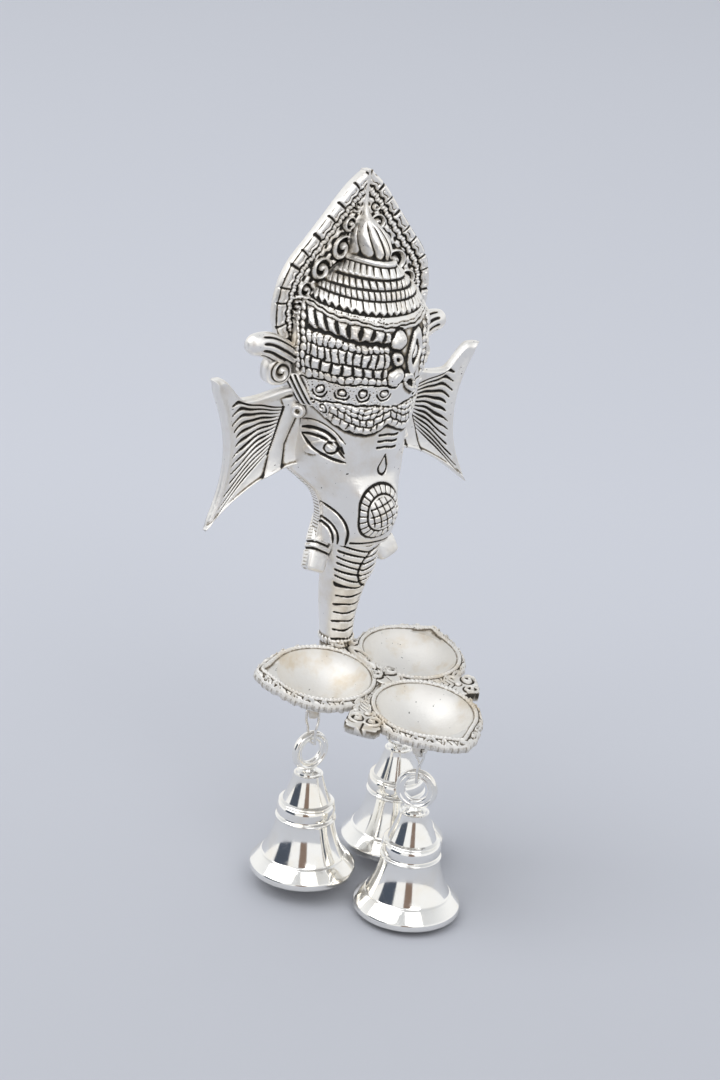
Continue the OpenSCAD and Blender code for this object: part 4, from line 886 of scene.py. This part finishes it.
def make_petal(name, turn):
    columns = 480
    angle = np.linspace(-math.pi, math.pi, columns, endpoint=False)
    edge = reach_of(petal_line(PETAL_R, TIP_R, TIP_AWAY), angle)
    edge = edge + 0.14 * np.sin(29 * angle + turn) + 0.07 * np.sin(53 * angle)
    for sign in (1, -1):
        across = np.sin(sign * angle - math.pi / 3)
        wall = (BOWL_OUT * math.sin(math.pi / 3) - 0.15) / np.maximum(across, 1e-3)
        edge = np.where(across > 0.2, np.minimum(edge, wall), edge)
    hollow = BOWL_R * np.sin(np.linspace(0, math.pi / 2, 42))
    rho = np.concatenate([np.repeat(hollow[:, None], columns, axis=1),
                          BOWL_R + (edge - BOWL_R) * np.linspace(0, 1, 36)[1:, None]])
    phi = np.repeat(angle[None, :], rho.shape[0], axis=0)
    a = rho * np.cos(phi)
    b = rho * np.sin(phi)
    bowl = BOWL_UP - np.sqrt(np.clip(BOWL_SPHERE ** 2 - rho ** 2, 0, None))
    spout = SPOUT_UP - np.sqrt(np.clip(SPOUT_SPHERE ** 2 - (a - SPOUT_AWAY) ** 2 - b ** 2, 0, None))
    spout = np.maximum(spout, SPOUT_FLOOR)
    base = np.minimum(np.where(rho < BOWL_R, bowl, 0.0), np.minimum(spout, 0))
    roped_line = (15.3, 0.5, 17.9)
    out = petal_distance(a, b, *roped_line)
    run = along_line(a, b, petal_line(*roped_line))[1]
    left = edge[None, :] - rho
    outside = soft_step(out, 0.15)
    strand = groove(in_cell(run - 0.7 * out, 1.3), 0.3, 0.4) * soft_step(0.62 - np.abs(out - 1.0), 0.2)
    rope = dome(out - 1.0, 0.62, 0.65) + strand
    scrolls = spiral(in_cell(run + 0.6 * np.sin(run), 4.6), out - 2.8, (0, 0), 1.5, 1.4, 0.75)
    strokes = groove(in_cell(run - 1.3 * out + 0.5 * np.sin(0.8 * run), 2.3), 0.35, 0.6)
    border = (scrolls + strokes) * soft_step(out - 1.7, 0.25) * soft_step(left - 0.2, 0.4)
    lines = groove(out - 0.2, 0.25, 0.14) + groove(out - 1.75, 0.3, 0.35)
    height = (0.25 * soft_step(out, 0.3) + rope + lines + border) * outside
    slope = -0.22 * np.clip(out - 1.2, 0, None) - 0.9 * np.clip(1 - left / 0.9, 0, 1) ** 2
    top = base + height + slope * outside
    skirt_rows = np.linspace(0, 1, 8)[1:, None]
    low = -RIM_T - 0.9 * soft_step(edge - 17.6, 1.0)
    hatch = 0.05 * np.sin(angle * 150) + 0.07 * np.sin(angle * 61)
    skirt_rho = edge + (0.35 + hatch) * np.sin(math.pi * skirt_rows)
    skirt_z = top[-1:] + (low - top[-1:]) * skirt_rows
    under_rho = edge * np.linspace(1, 0, 30)[1:, None]
    shell = BOWL_UP - np.sqrt(np.clip((BOWL_SPHERE + BOWL_WALL) ** 2 - under_rho ** 2, 0, None))
    under_z = np.minimum(low * soft_step(under_rho, 10) - RIM_T * (1 - soft_step(under_rho, 10)), shell)
    rho_all = np.concatenate([rho, skirt_rho, under_rho])
    z_all = np.concatenate([top, skirt_z, under_z])
    phi_all = np.repeat(angle[None, :], rho_all.shape[0], axis=0) + math.radians(turn)
    x = BOWL_OUT * math.cos(math.radians(turn)) + rho_all * np.cos(phi_all)
    y = BOWL_OUT * math.sin(math.radians(turn)) + rho_all * np.sin(phi_all)
    recess = np.zeros(rho_all.shape)
    top_rows = rho.shape[0]
    recess[:top_rows] = 0.7 * recess_of(height, 4, 0.3)
    recess[top_rows:top_rows + skirt_rows.size] = 0.2 + 1.5 * np.clip(-hatch, 0, 1)
    in_tray(wrapped_sheet(name, on_tray(np.stack([x, y, z_all], axis=2)), recess, satin_silver))


for word, turn in BOWL_TURNS.items():
    make_petal("tray_bowl_" + word, turn)

# The tray's fillings between the bowls, in the same casting.
# Two wedge-shaped lobes with scrolled ends stand between the front bowl and the others,
# and a leaf with two curls runs from the trunk's foot to the middle.
CLEAR_OF_HOLLOW = 15.8
LOBE_T = 3.4


def make_strip(name, rows, half, turn, top_of, depth, oxide=1.0):
    """A narrow plate along a line out from the middle, with carved top and plain back."""
    columns, back_columns = 90, 24
    share = np.linspace(-1, 1, columns)
    p = np.repeat(rows[:, None], columns, axis=1)
    q = half[:, None] * share
    height = top_of(p, q, half[:, None] * np.ones(columns))
    back_q = half[:, None] * np.linspace(1, -1, back_columns)
    back_p = np.repeat(rows[:, None], back_columns, axis=1)
    back_z = np.full(back_q.shape, -depth)
    along = np.concatenate([p, back_p], axis=1)
    across = np.concatenate([q, back_q], axis=1)
    up = np.concatenate([height, back_z], axis=1)
    bend = np.radians(turn + np.zeros(rows.size))[:, None]
    x = along * np.cos(bend) - across * np.sin(bend)
    y = along * np.sin(bend) + across * np.cos(bend)
    for bowl_turn in BOWL_TURNS.values():
        x_away = x - BOWL_OUT * math.cos(math.radians(bowl_turn))
        y_away = y - BOWL_OUT * math.sin(math.radians(bowl_turn))
        push = np.maximum(1.0, CLEAR_OF_HOLLOW / np.hypot(x_away, y_away)) - 1.0
        x = x + push * x_away
        y = y + push * y_away
    places = np.stack([x, y, up], axis=2)
    recess = np.concatenate([oxide * recess_of(height, 3, 0.3), np.full(back_q.shape, 0.1)], axis=1)
    in_tray(wrapped_sheet(name, on_tray(places), recess, satin_silver))


def lobe_top(p, q, half):
    inside = half - np.abs(q)
    h = -0.5 - 0.5 * np.clip(1 - inside / 0.8, 0, 1) ** 2
    h += spiral(np.abs(q), p, (2.75, 27.2), 2.8, 1.3, 1.0) + dome(np.hypot(q, p - 23.4), 1.1, 0.9)
    h += groove(q, 0.6, 0.8) * soft_step(p - 28.0, 1.5)
    h += dome(inside - 1.2, 0.6, 0.5) * soft_step(23.5 - p, 1.0) * soft_step(p - 9, 2.0)
    veins = groove(in_cell(p + 0.8 * np.abs(q), 1.9), 0.4, 0.45)
    h += veins * soft_step(23 - p, 1.0) * soft_step(inside - 1.9, 0.3)
    return h


lobe_rows = np.linspace(7.0, 32.6, 150)
lobe_end = np.clip(1000 - np.abs(lobe_rows - 27) ** 4, 0.01, None) ** 0.25 + 0.3 * np.sin(2.6 * lobe_rows)
lobe_side = np.minimum(lobe_rows * 0.235 + 0.2 * np.sin(lobe_rows * 2.2), 5.7)
lobe_half = np.where(lobe_rows < 25, lobe_side, np.minimum(lobe_side, lobe_end))
lobe_bend = 9 * soft_step(lobe_rows - 13, 10)
make_strip("tray_lobe_left", lobe_rows, lobe_half, 210 + lobe_bend, lobe_top, LOBE_T)
make_strip("tray_lobe_right", lobe_rows - 2.4, lobe_half, 330, lobe_top, LOBE_T)


def vine_top(p, q, half):
    leaf = np.hypot(q / 1.9, (p - 13.0) / 7.0)
    h = 0.7 - 0.4 * np.clip(1 - (half - np.abs(q)) / 0.7, 0, 1) ** 2
    h += dome(leaf - 0.8, 0.26, 0.9) + dome(q, 0.8, 0.5) * soft_step(0.62 - leaf, 0.2)
    h += groove(leaf - 1.16, 0.3, 1.0)
    h += groove(leaf - 0.5, 0.2, 0.6)
    h += spiral(np.abs(q), p, (2.6, 1.8), 2.7, 1.3, 1.2) + spiral(np.abs(q), p, (2.4, 21.6), 2.1, 1.3, 1.0)
    h += groove(q, 0.5, 0.9) * soft_step(4.6 - p, 1.0)
    return h


vine_rows = np.linspace(-4.6, 33.0, 190)
vine_half = curve([(-4.6, 0.6), (-3, 3.4), (0, 4.6), (3, 5.2), (6, 3.6), (10, 2.9), (14, 3.1), (18, 3.3),
                   (21, 4.6), (24, 4.8), (28, 4.6), (31, 3.6), (33, 0.6)], vine_rows)
make_strip("tray_vine", vine_rows, vine_half, 90, vine_top, 4.0, 1.3)

# The lugs, flat tabs under the bowls, each drilled for a wire link.
# They are part of the tray's casting, left rough from the mould.
LUG_OUT = 21.5
LUG_DROP = 14.0
LUG_T = 2.4
LUG_R = 2.4
LUG_HOLE_R = 0.75
LUG_TOP = 3.9
# Each hanger's word, the turn of its bowl and the turn of its ring
HANGERS = tuple((word, BOWL_TURNS[word], ring_turn)
                for word, ring_turn in (("left", 90), ("front", 220), ("right", 90)))


def lug_place(turn):
    angle = math.radians(turn)
    return on_tray(np.array([LUG_OUT * math.cos(angle), LUG_OUT * math.sin(angle), -LUG_DROP]))


def make_lug(name, turn):
    bm = bmesh.new()
    outer = bmesh.ops.create_circle(bm, cap_ends=False, segments=64, radius=1.0)["verts"]
    bmesh.ops.create_circle(bm, cap_ends=False, segments=64, radius=LUG_HOLE_R)
    for vert in outer:
        x, y = vert.co.x, vert.co.y
        rise = min(1.0, y * 1.4)
        if y > 0:
            vert.co = (x * (LUG_R + 2.1 * rise), rise * LUG_TOP, 0)
        else:
            vert.co = (x * LUG_R, y * LUG_R, 0)
    bmesh.ops.bridge_loops(bm, edges=bm.edges[:])
    made = bmesh.ops.extrude_face_region(bm, geom=bm.faces[:])
    raised = [item for item in made["geom"] if isinstance(item, bmesh.types.BMVert)]
    bmesh.ops.translate(bm, verts=raised, vec=(0, 0, LUG_T))
    bmesh.ops.recalc_face_normals(bm, faces=bm.faces)
    sharp = [edge for edge in bm.edges if len(edge.link_faces) == 2 and edge.calc_face_angle() > 1.0]
    bmesh.ops.bevel(bm, geom=sharp, offset=0.35, affect="EDGES", segments=3, profile=0.5, material=-1)
    stand = Matrix.Rotation(math.radians(turn), 4, "Z") @ Matrix.Rotation(math.pi / 2, 4, "Z")
    stand = stand @ Matrix.Rotation(math.pi / 2, 4, "X") @ Matrix.Translation((0, 0, -LUG_T / 2))
    bmesh.ops.transform(bm, matrix=stand, verts=bm.verts)
    layer = bm.verts.layers.float.new("recess")
    for vert in bm.verts:
        vert[layer] = 0.9 * max(0.0, 1 - math.dist(vert.co, (0, 0, 0)) / 1.9)
    bmesh.ops.translate(bm, verts=bm.verts, vec=lug_place(turn))
    bmesh.ops.scale(bm, verts=bm.verts, vec=(MM, MM, MM))
    in_tray(make_object(name, bm, satin_silver, 0.7))


for word, turn, _ in HANGERS:
    make_lug("tray_lug_" + word, turn)

# The links, one closed loop of thin wire through each lug and ring.
# The wire is plated, with grey handling marks.
polish_marks = new_group(
    "polish marks",
    {"Bright": (0.93, 0.92, 0.89, 1), "Warmth": 0.4, "Gloss": 0.06, "Scratches": 0.1},
    ("Color", "Roughness", "Height"))


def fill_polish_marks(tree):
    given = tree.nodes.new("NodeGroupInput").outputs
    result = tree.nodes.new("NodeGroupOutput").inputs
    cloud = add_noise(tree, 75, 3)
    fine = add_noise(tree, 2600, 2)
    rubbed = add_noise(tree, 380, 5, 0.7)
    warm = add_math(tree, "MULTIPLY", add_ramp(tree, cloud, 0.4, 0.8), given["Warmth"], clamp=True)
    color = add_mix(tree, warm, given["Bright"], (0.86, 0.76, 0.58, 1))
    hazy = add_math(tree, "MULTIPLY", add_ramp(tree, rubbed, 0.45, 0.8), given["Scratches"])
    rough = add_math(tree, "ADD", given["Gloss"], hazy)
    tree.links.new(color, result["Color"])
    tree.links.new(rough, result["Roughness"])
    tree.links.new(add_math(tree, "ADD", add_math(tree, "MULTIPLY", fine, 0.15), rubbed), result["Height"])


fill_polish_marks(polish_marks)


def polished(name, bright, warmth, gloss, scratches, bumps):
    values = {"Bright": bright, "Warmth": warmth, "Gloss": gloss, "Scratches": scratches}
    material, _, shader, _ = new_finish(name, polish_marks, values, bumps, 0.0002)
    shader["Metallic"].default_value = 1.0
    return material


plated_wire = polished("plated wire", (0.86, 0.85, 0.83, 1), 0.4, 0.16, 0.2, 0.05)
LINK_L = 11.0
WIRE_R = 0.45
LINK_TOP = 3.9
LINK_LOW = 4.1
STRAIGHT_TOP = 1.6
STRAIGHT_LOW = 4.4


def make_link(name, body, node, turn, ring_turn):
    top = lug_place(turn)
    swing = (ring_turn - turn + 90) % 180 - 90
    sides = []
    for sign in (1, -1):
        run = []
        for t in np.linspace(0, 1, 22):
            twisted = (t * LINK_L - STRAIGHT_TOP) / (LINK_L - STRAIGHT_TOP - STRAIGHT_LOW)
            share = soft_step(np.array(twisted), 1.0)
            angle = math.radians(turn + swing * float(share))
            half = sign * (LINK_TOP + (LINK_LOW - LINK_TOP) * float(share)) / 2
            x = top[0] + half * math.cos(angle)
            y = top[1] + half * math.sin(angle)
            run.append((x, y, top[2] - t * LINK_L))
        sides.append(run)
    path = sides[0] + sides[1][::-1]
    data = bpy.data.curves.new(name, "CURVE")
    data.dimensions = "3D"
    data.bevel_depth = WIRE_R * MM
    data.bevel_resolution = 4
    line = data.splines.new("NURBS")
    line.points.add(len(path) - 1)
    for point, place in zip(line.points, path):
        point.co = (place[0] * MM, place[1] * MM, place[2] * MM, 1)
    line.use_cyclic_u = True
    line.order_u = 3
    line.resolution_u = 4
    data.materials.append(plated_wire)
    piece = bpy.data.objects.new(name, data)
    bpy.context.scene.collection.objects.link(piece)
    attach(piece, body)
    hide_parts(node)


for word, turn, ring_turn in HANGERS:
    make_link("link_wire_" + word, "link_" + word, "link_" + word, turn, ring_turn)

# The rings and stems, turned brass, silver-plated and polished.
# A ring with two rounded steps stands on a collar, and its stem goes through the bell's
# crown to a flat eye for the clapper, with a nut under the crown.
mirror_silver = polished("mirror silver", (0.96, 0.95, 0.92, 1), 0.4, 0.085, 0.14, 0.03)
RING_DROP = 2.85
RING_IN = 3.6
RING_OUT = 6.8
BELL_TOP = 10.6
PIN_DROP = 19.4


def spun(bm, profile, steps):
    """A closed turned shape from a profile of (radius, height) points about the upright axis."""
    verts = [bm.verts.new((r, 0, h)) for r, h in profile]
    edges = [bm.edges.new(pair) for pair in zip(verts, verts[1:] + verts[:1])]
    bmesh.ops.spin(bm, geom=verts + edges, cent=(0, 0, 0), axis=(0, 0, 1), angle=2 * math.pi, steps=steps,
                   use_merge=True)
    bmesh.ops.remove_doubles(bm, verts=bm.verts, dist=1e-4)
    bmesh.ops.recalc_face_normals(bm, faces=bm.faces)


def ring_profile():
    r = np.linspace(RING_IN, RING_OUT, 33)
    inner = dome(r - 4.3, 0.7, 0.95)
    outer = dome(r - 5.9, 0.9, 1.3)
    web = 0.85 * soft_step(r - RING_IN, 0.5) * soft_step(RING_OUT - r, 0.5)
    half = np.maximum(np.maximum(inner, outer), web)
    up = [(float(a), float(b)) for a, b in zip(r, half)]
    return up + [(a, -b) for a, b in up[-2:0:-1]]


def on_bell(piece, word, node):
    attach(piece, "bell_" + word)
    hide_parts(node + word)


def below_link(turn, drop):
    return lug_place(turn) - np.array([0, 0, LINK_L + drop])


def make_ring(word, turn, ring_turn):
    middle = below_link(turn, RING_DROP)
    bm = bmesh.new()
    spun(bm, ring_profile(), 112)
    place = Matrix.Translation(middle) @ Matrix.Rotation(math.radians(ring_turn), 4, "Z")
    bmesh.ops.transform(bm, matrix=place @ Matrix.Rotation(math.pi / 2, 4, "Y"), verts=bm.verts)
    bmesh.ops.scale(bm, verts=bm.verts, vec=(MM, MM, MM))
    on_bell(make_object("ring_" + word, bm, mirror_silver, 0.9), word, "loop_")


def make_stem(word, turn, ring_turn):
    top = below_link(turn, BELL_TOP)
    bm = bmesh.new()
    profile = [(0.02, 1.6), (1.8, 1.6), (2.3, 1.0), (3.3, 0.75), (3.9, 0.5), (4.1, 0.05), (4.0, -0.02),
               (2.0, -0.05), (2.0, -6.6), (1.2, -7.0), (0.02, -7.0)]
    spun(bm, profile, 64)
    eye = bmesh.new()
    eye_profile = [(0.8, 0.9), (1.0, 1.0), (1.85, 1.0), (2.0, 0.85), (2.0, -0.85), (1.85, -1.0), (1.0, -1.0),
                   (0.8, -0.9)]
    spun(eye, eye_profile, 40)
    lie = Matrix.Translation((0, 0, BELL_TOP - PIN_DROP)) @ Matrix.Rotation(math.radians(ring_turn), 4, "Z")
    bmesh.ops.transform(eye, matrix=lie @ Matrix.Rotation(math.pi / 2, 4, "Y"), verts=eye.verts)
    flat = bpy.data.meshes.new("stem eye")
    eye.to_mesh(flat)
    eye.free()
    bm.from_mesh(flat)
    bpy.data.meshes.remove(flat)
    bmesh.ops.translate(bm, verts=bm.verts, vec=top)
    bmesh.ops.scale(bm, verts=bm.verts, vec=(MM, MM, MM))
    on_bell(make_object("stem_" + word, bm, mirror_silver, 0.6), word, "loop_")


for word, turn, ring_turn in HANGERS:
    make_ring(word, turn, ring_turn)
    make_stem(word, turn, ring_turn)

# The bells, turned brass cups, silver-plated and polished like mirrors.
# Each has a plain neck, a collar between two thin edges, a flared waist, a crease and
# a skirt with a rounded lip.
BELL_R = 17.3
BELL_H = 34.4


def bell_profile():
    """Outer side from the crown down to the lip, then the inner side back up."""
    neck = [(4.85 + 2.95 * t ** 1.25, 0.6 + 8.6 * t) for t in np.linspace(0, 1, 14)]
    edge = [(8.5, 9.45), (8.95, 9.6), (9.1, 9.85), (8.95, 10.1), (8.65, 10.25)]
    collar = [(8.65 + 0.95 * math.sin(t), 10.35 + 4.6 * (1 - math.cos(t)) / 2)
              for t in np.linspace(0.15, 2.6, 12)]
    band = [(9.45, 14.9), (9.75, 15.0), (9.95, 15.25), (9.95, 15.6), (9.75, 15.9), (9.55, 16.0)]
    waist = [(9.55 + 3.95 * t ** 1.7, 16.1 + 12.3 * t) for t in np.linspace(0.02, 1, 22)]
    crease = [(13.75, 28.5), (13.95, 28.62), (14.2, 28.9)]
    skirt = [(14.2 + 2.75 * t ** 0.95, 28.9 + 2.9 * t) for t in np.linspace(0.1, 1, 8)]
    lip = [(17.12, 32.0), (17.28, 32.3), (BELL_R, 32.8), (BELL_R, 33.7), (17.15, 34.15), (16.8, BELL_H),
           (16.3, BELL_H), (15.95, 34.2), (15.9, 33.8)]
    crown = [(2.25, 0.0), (4.5, 0.0), (4.75, 0.15)]
    outer = crown + neck + edge + collar + band + waist + crease + skirt + lip
    inner = [(15.4, 32.4), (13.2, 29.8), (12.1, 28.4), (10.2, 23.0), (8.6, 17.8), (7.9, 14.0), (6.5, 9.4),
             (4.6, 3.6), (4.2, 3.2), (2.25, 3.2)]
    return [(float(r), -float(down)) for r, down in outer + inner]


def make_bell(word, turn):
    top = below_link(turn, BELL_TOP)
    bm = bmesh.new()
    spun(bm, bell_profile(), 128)
    bmesh.ops.translate(bm, verts=bm.verts, vec=top)
    bmesh.ops.scale(bm, verts=bm.verts, vec=(MM, MM, MM))
    on_bell(make_object("cup_" + word, bm, mirror_silver, 0.75), word, "bell_")


for word, turn, _ in HANGERS:
    make_bell(word, turn)

# Plain steel hardware: hanger plate with its rivets, the tray's screw and the bell nuts.
# The clappers are cast balls on wire, duller than the bells around them.
plain_steel = polished("plain steel", (0.62, 0.61, 0.60, 1), 0.25, 0.28, 0.25, 0.08)
clapper_metal = polished("clapper metal", (0.74, 0.71, 0.66, 1), 0.5, 0.25, 0.25, 0.08)


def dress(node, material):
    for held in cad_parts[node].material_slots:
        held.material = material


for node in ("hanger_plate", "hanger_rivets", "tray_screw", "nut_left", "nut_front", "nut_right"):
    dress(node, plain_steel)
for word, _, _ in HANGERS:
    dress("clapper_" + word, clapper_metal)

# The camera at the photograph's place, to the front left of the object and a little above it.
# Its lens is given in millimetres for a sensor 36 mm tall.
camera_data = bpy.data.cameras.new("camera")
camera_data.sensor_fit = "VERTICAL"
camera_data.sensor_height = 36.0
camera_data.lens = 76.67
camera = bpy.data.objects.new("camera", camera_data)
bpy.context.scene.collection.objects.link(camera)
pan = Matrix.Rotation(math.radians(-38.85), 4, "Z")
tilt = Matrix.Rotation(math.radians(90 - 21.12), 4, "X")
roll = Matrix.Rotation(math.radians(4.54), 4, "Z")
camera.matrix_world = Matrix.Translation((-0.42602, -0.54688, 0.18476)) @ (pan @ tilt @ roll)
bpy.context.scene.camera = camera

# Pale paper under and behind the bells, and soft studio light.
# Two soft boxes stand in a pale room with a dark wall and a doorway, which the bells show.
FLOOR_Z = -0.1925
floor_mesh = bmesh.new()
bmesh.ops.create_grid(floor_mesh, x_segments=1, y_segments=1, size=9.0)
bmesh.ops.translate(floor_mesh, verts=floor_mesh.verts, vec=(0, 0, FLOOR_Z))
paper = bpy.data.materials.new("paper")
paper.use_nodes = True
sheet = paper.node_tree


def add_vector(tree, operation, *values):
    node = add_node(tree, "ShaderNodeVectorMath", {"operation": operation})
    feed(tree, node.inputs, values)
    return node.outputs["Value" if operation == "DOT_PRODUCT" else "Vector"]


# The paper's colour is graded by distance from the camera, darker near it and paler far off. This is painted
# shade and painted light that even out how the lamps fall across the floor.
spot = sheet.nodes.new("ShaderNodeTexCoord").outputs["Object"]
away = add_vector(sheet, "DOT_PRODUCT", spot, (0.627, 0.779, 0))
near = add_ramp(sheet, away, -0.3, 0.4)
far = add_ramp(sheet, away, 0.3, 1.9)
tone = add_mix(sheet, near, (0.50, 0.515, 0.56, 1), (0.61, 0.63, 0.69, 1))
tone = add_mix(sheet, far, tone, (0.64, 0.66, 0.72, 1))
sheet.links.new(tone, sheet.nodes["Principled BSDF"].inputs["Base Color"])
sheet.nodes["Principled BSDF"].inputs["Roughness"].default_value = 0.9
make_object("floor", floor_mesh, paper)


LAMP_AIM = Vector((0, -0.03, -0.08))


def soft_box(name, bearing, height, away, size, power):
    """A rectangular lamp at a compass bearing and height, turned to the object."""
    data = bpy.data.lights.new(name, "AREA")
    data.shape = "RECTANGLE"
    data.size = size[0]
    data.size_y = size[1]
    data.energy = power
    lamp = bpy.data.objects.new(name, data)
    bpy.context.scene.collection.objects.link(lamp)
    turn = math.radians(bearing)
    rise = math.radians(height)
    place = Vector((math.cos(turn) * math.cos(rise), math.sin(turn) * math.cos(rise), math.sin(rise))) * away
    lamp.location = place
    lamp.rotation_euler = (LAMP_AIM - place).to_track_quat("-Z", "Y").to_euler()


soft_box("key", 168, 52, 2.4, (2.2, 2.2), 24)
soft_box("fill", 256, 40, 2.4, (1.2, 1.8), 8)
world = bpy.data.worlds.new("studio")
world.use_nodes = True
sky = world.node_tree
place = sky.nodes.new("ShaderNodeTexCoord").outputs["Generated"]
parts = sky.nodes.new("ShaderNodeSeparateXYZ")
sky.links.new(place, parts.inputs[0])
skyward = parts.outputs["Z"]
heading = add_vector(sky, "NORMALIZE", add_vector(sky, "MULTIPLY", place, (1, 1, 0)))


def facing(bearing):
    """How nearly a direction points along a compass bearing, whatever its height."""
    angle = math.radians(bearing)
    return add_vector(sky, "DOT_PRODUCT", heading, (math.cos(angle), math.sin(angle), 0))


room = add_mix(sky, add_ramp(sky, skyward, 0.3, 0.9), (1.18, 1.19, 1.2, 1), (0.8, 0.82, 0.85, 1))
low_down = add_math(sky, "SUBTRACT", 1.0, add_ramp(sky, skyward, 0.45, 0.62))
dark_wall = add_math(sky, "MULTIPLY", add_ramp(sky, facing(171), 0.915, 0.945), low_down)
doorway = add_math(sky, "MULTIPLY", add_ramp(sky, facing(234), 0.976, 0.986), low_down)
room = add_mix(sky, dark_wall, room, (0.09, 0.11, 0.15, 1))
room = add_mix(sky, doorway, room, (0.30, 0.22, 0.18, 1))
sky.links.new(room, sky.nodes["Background"].inputs["Color"])
sky.nodes["Background"].inputs["Strength"].default_value = 0.8
bpy.context.scene.world = world
bpy.context.scene.view_settings.view_transform = "Standard"
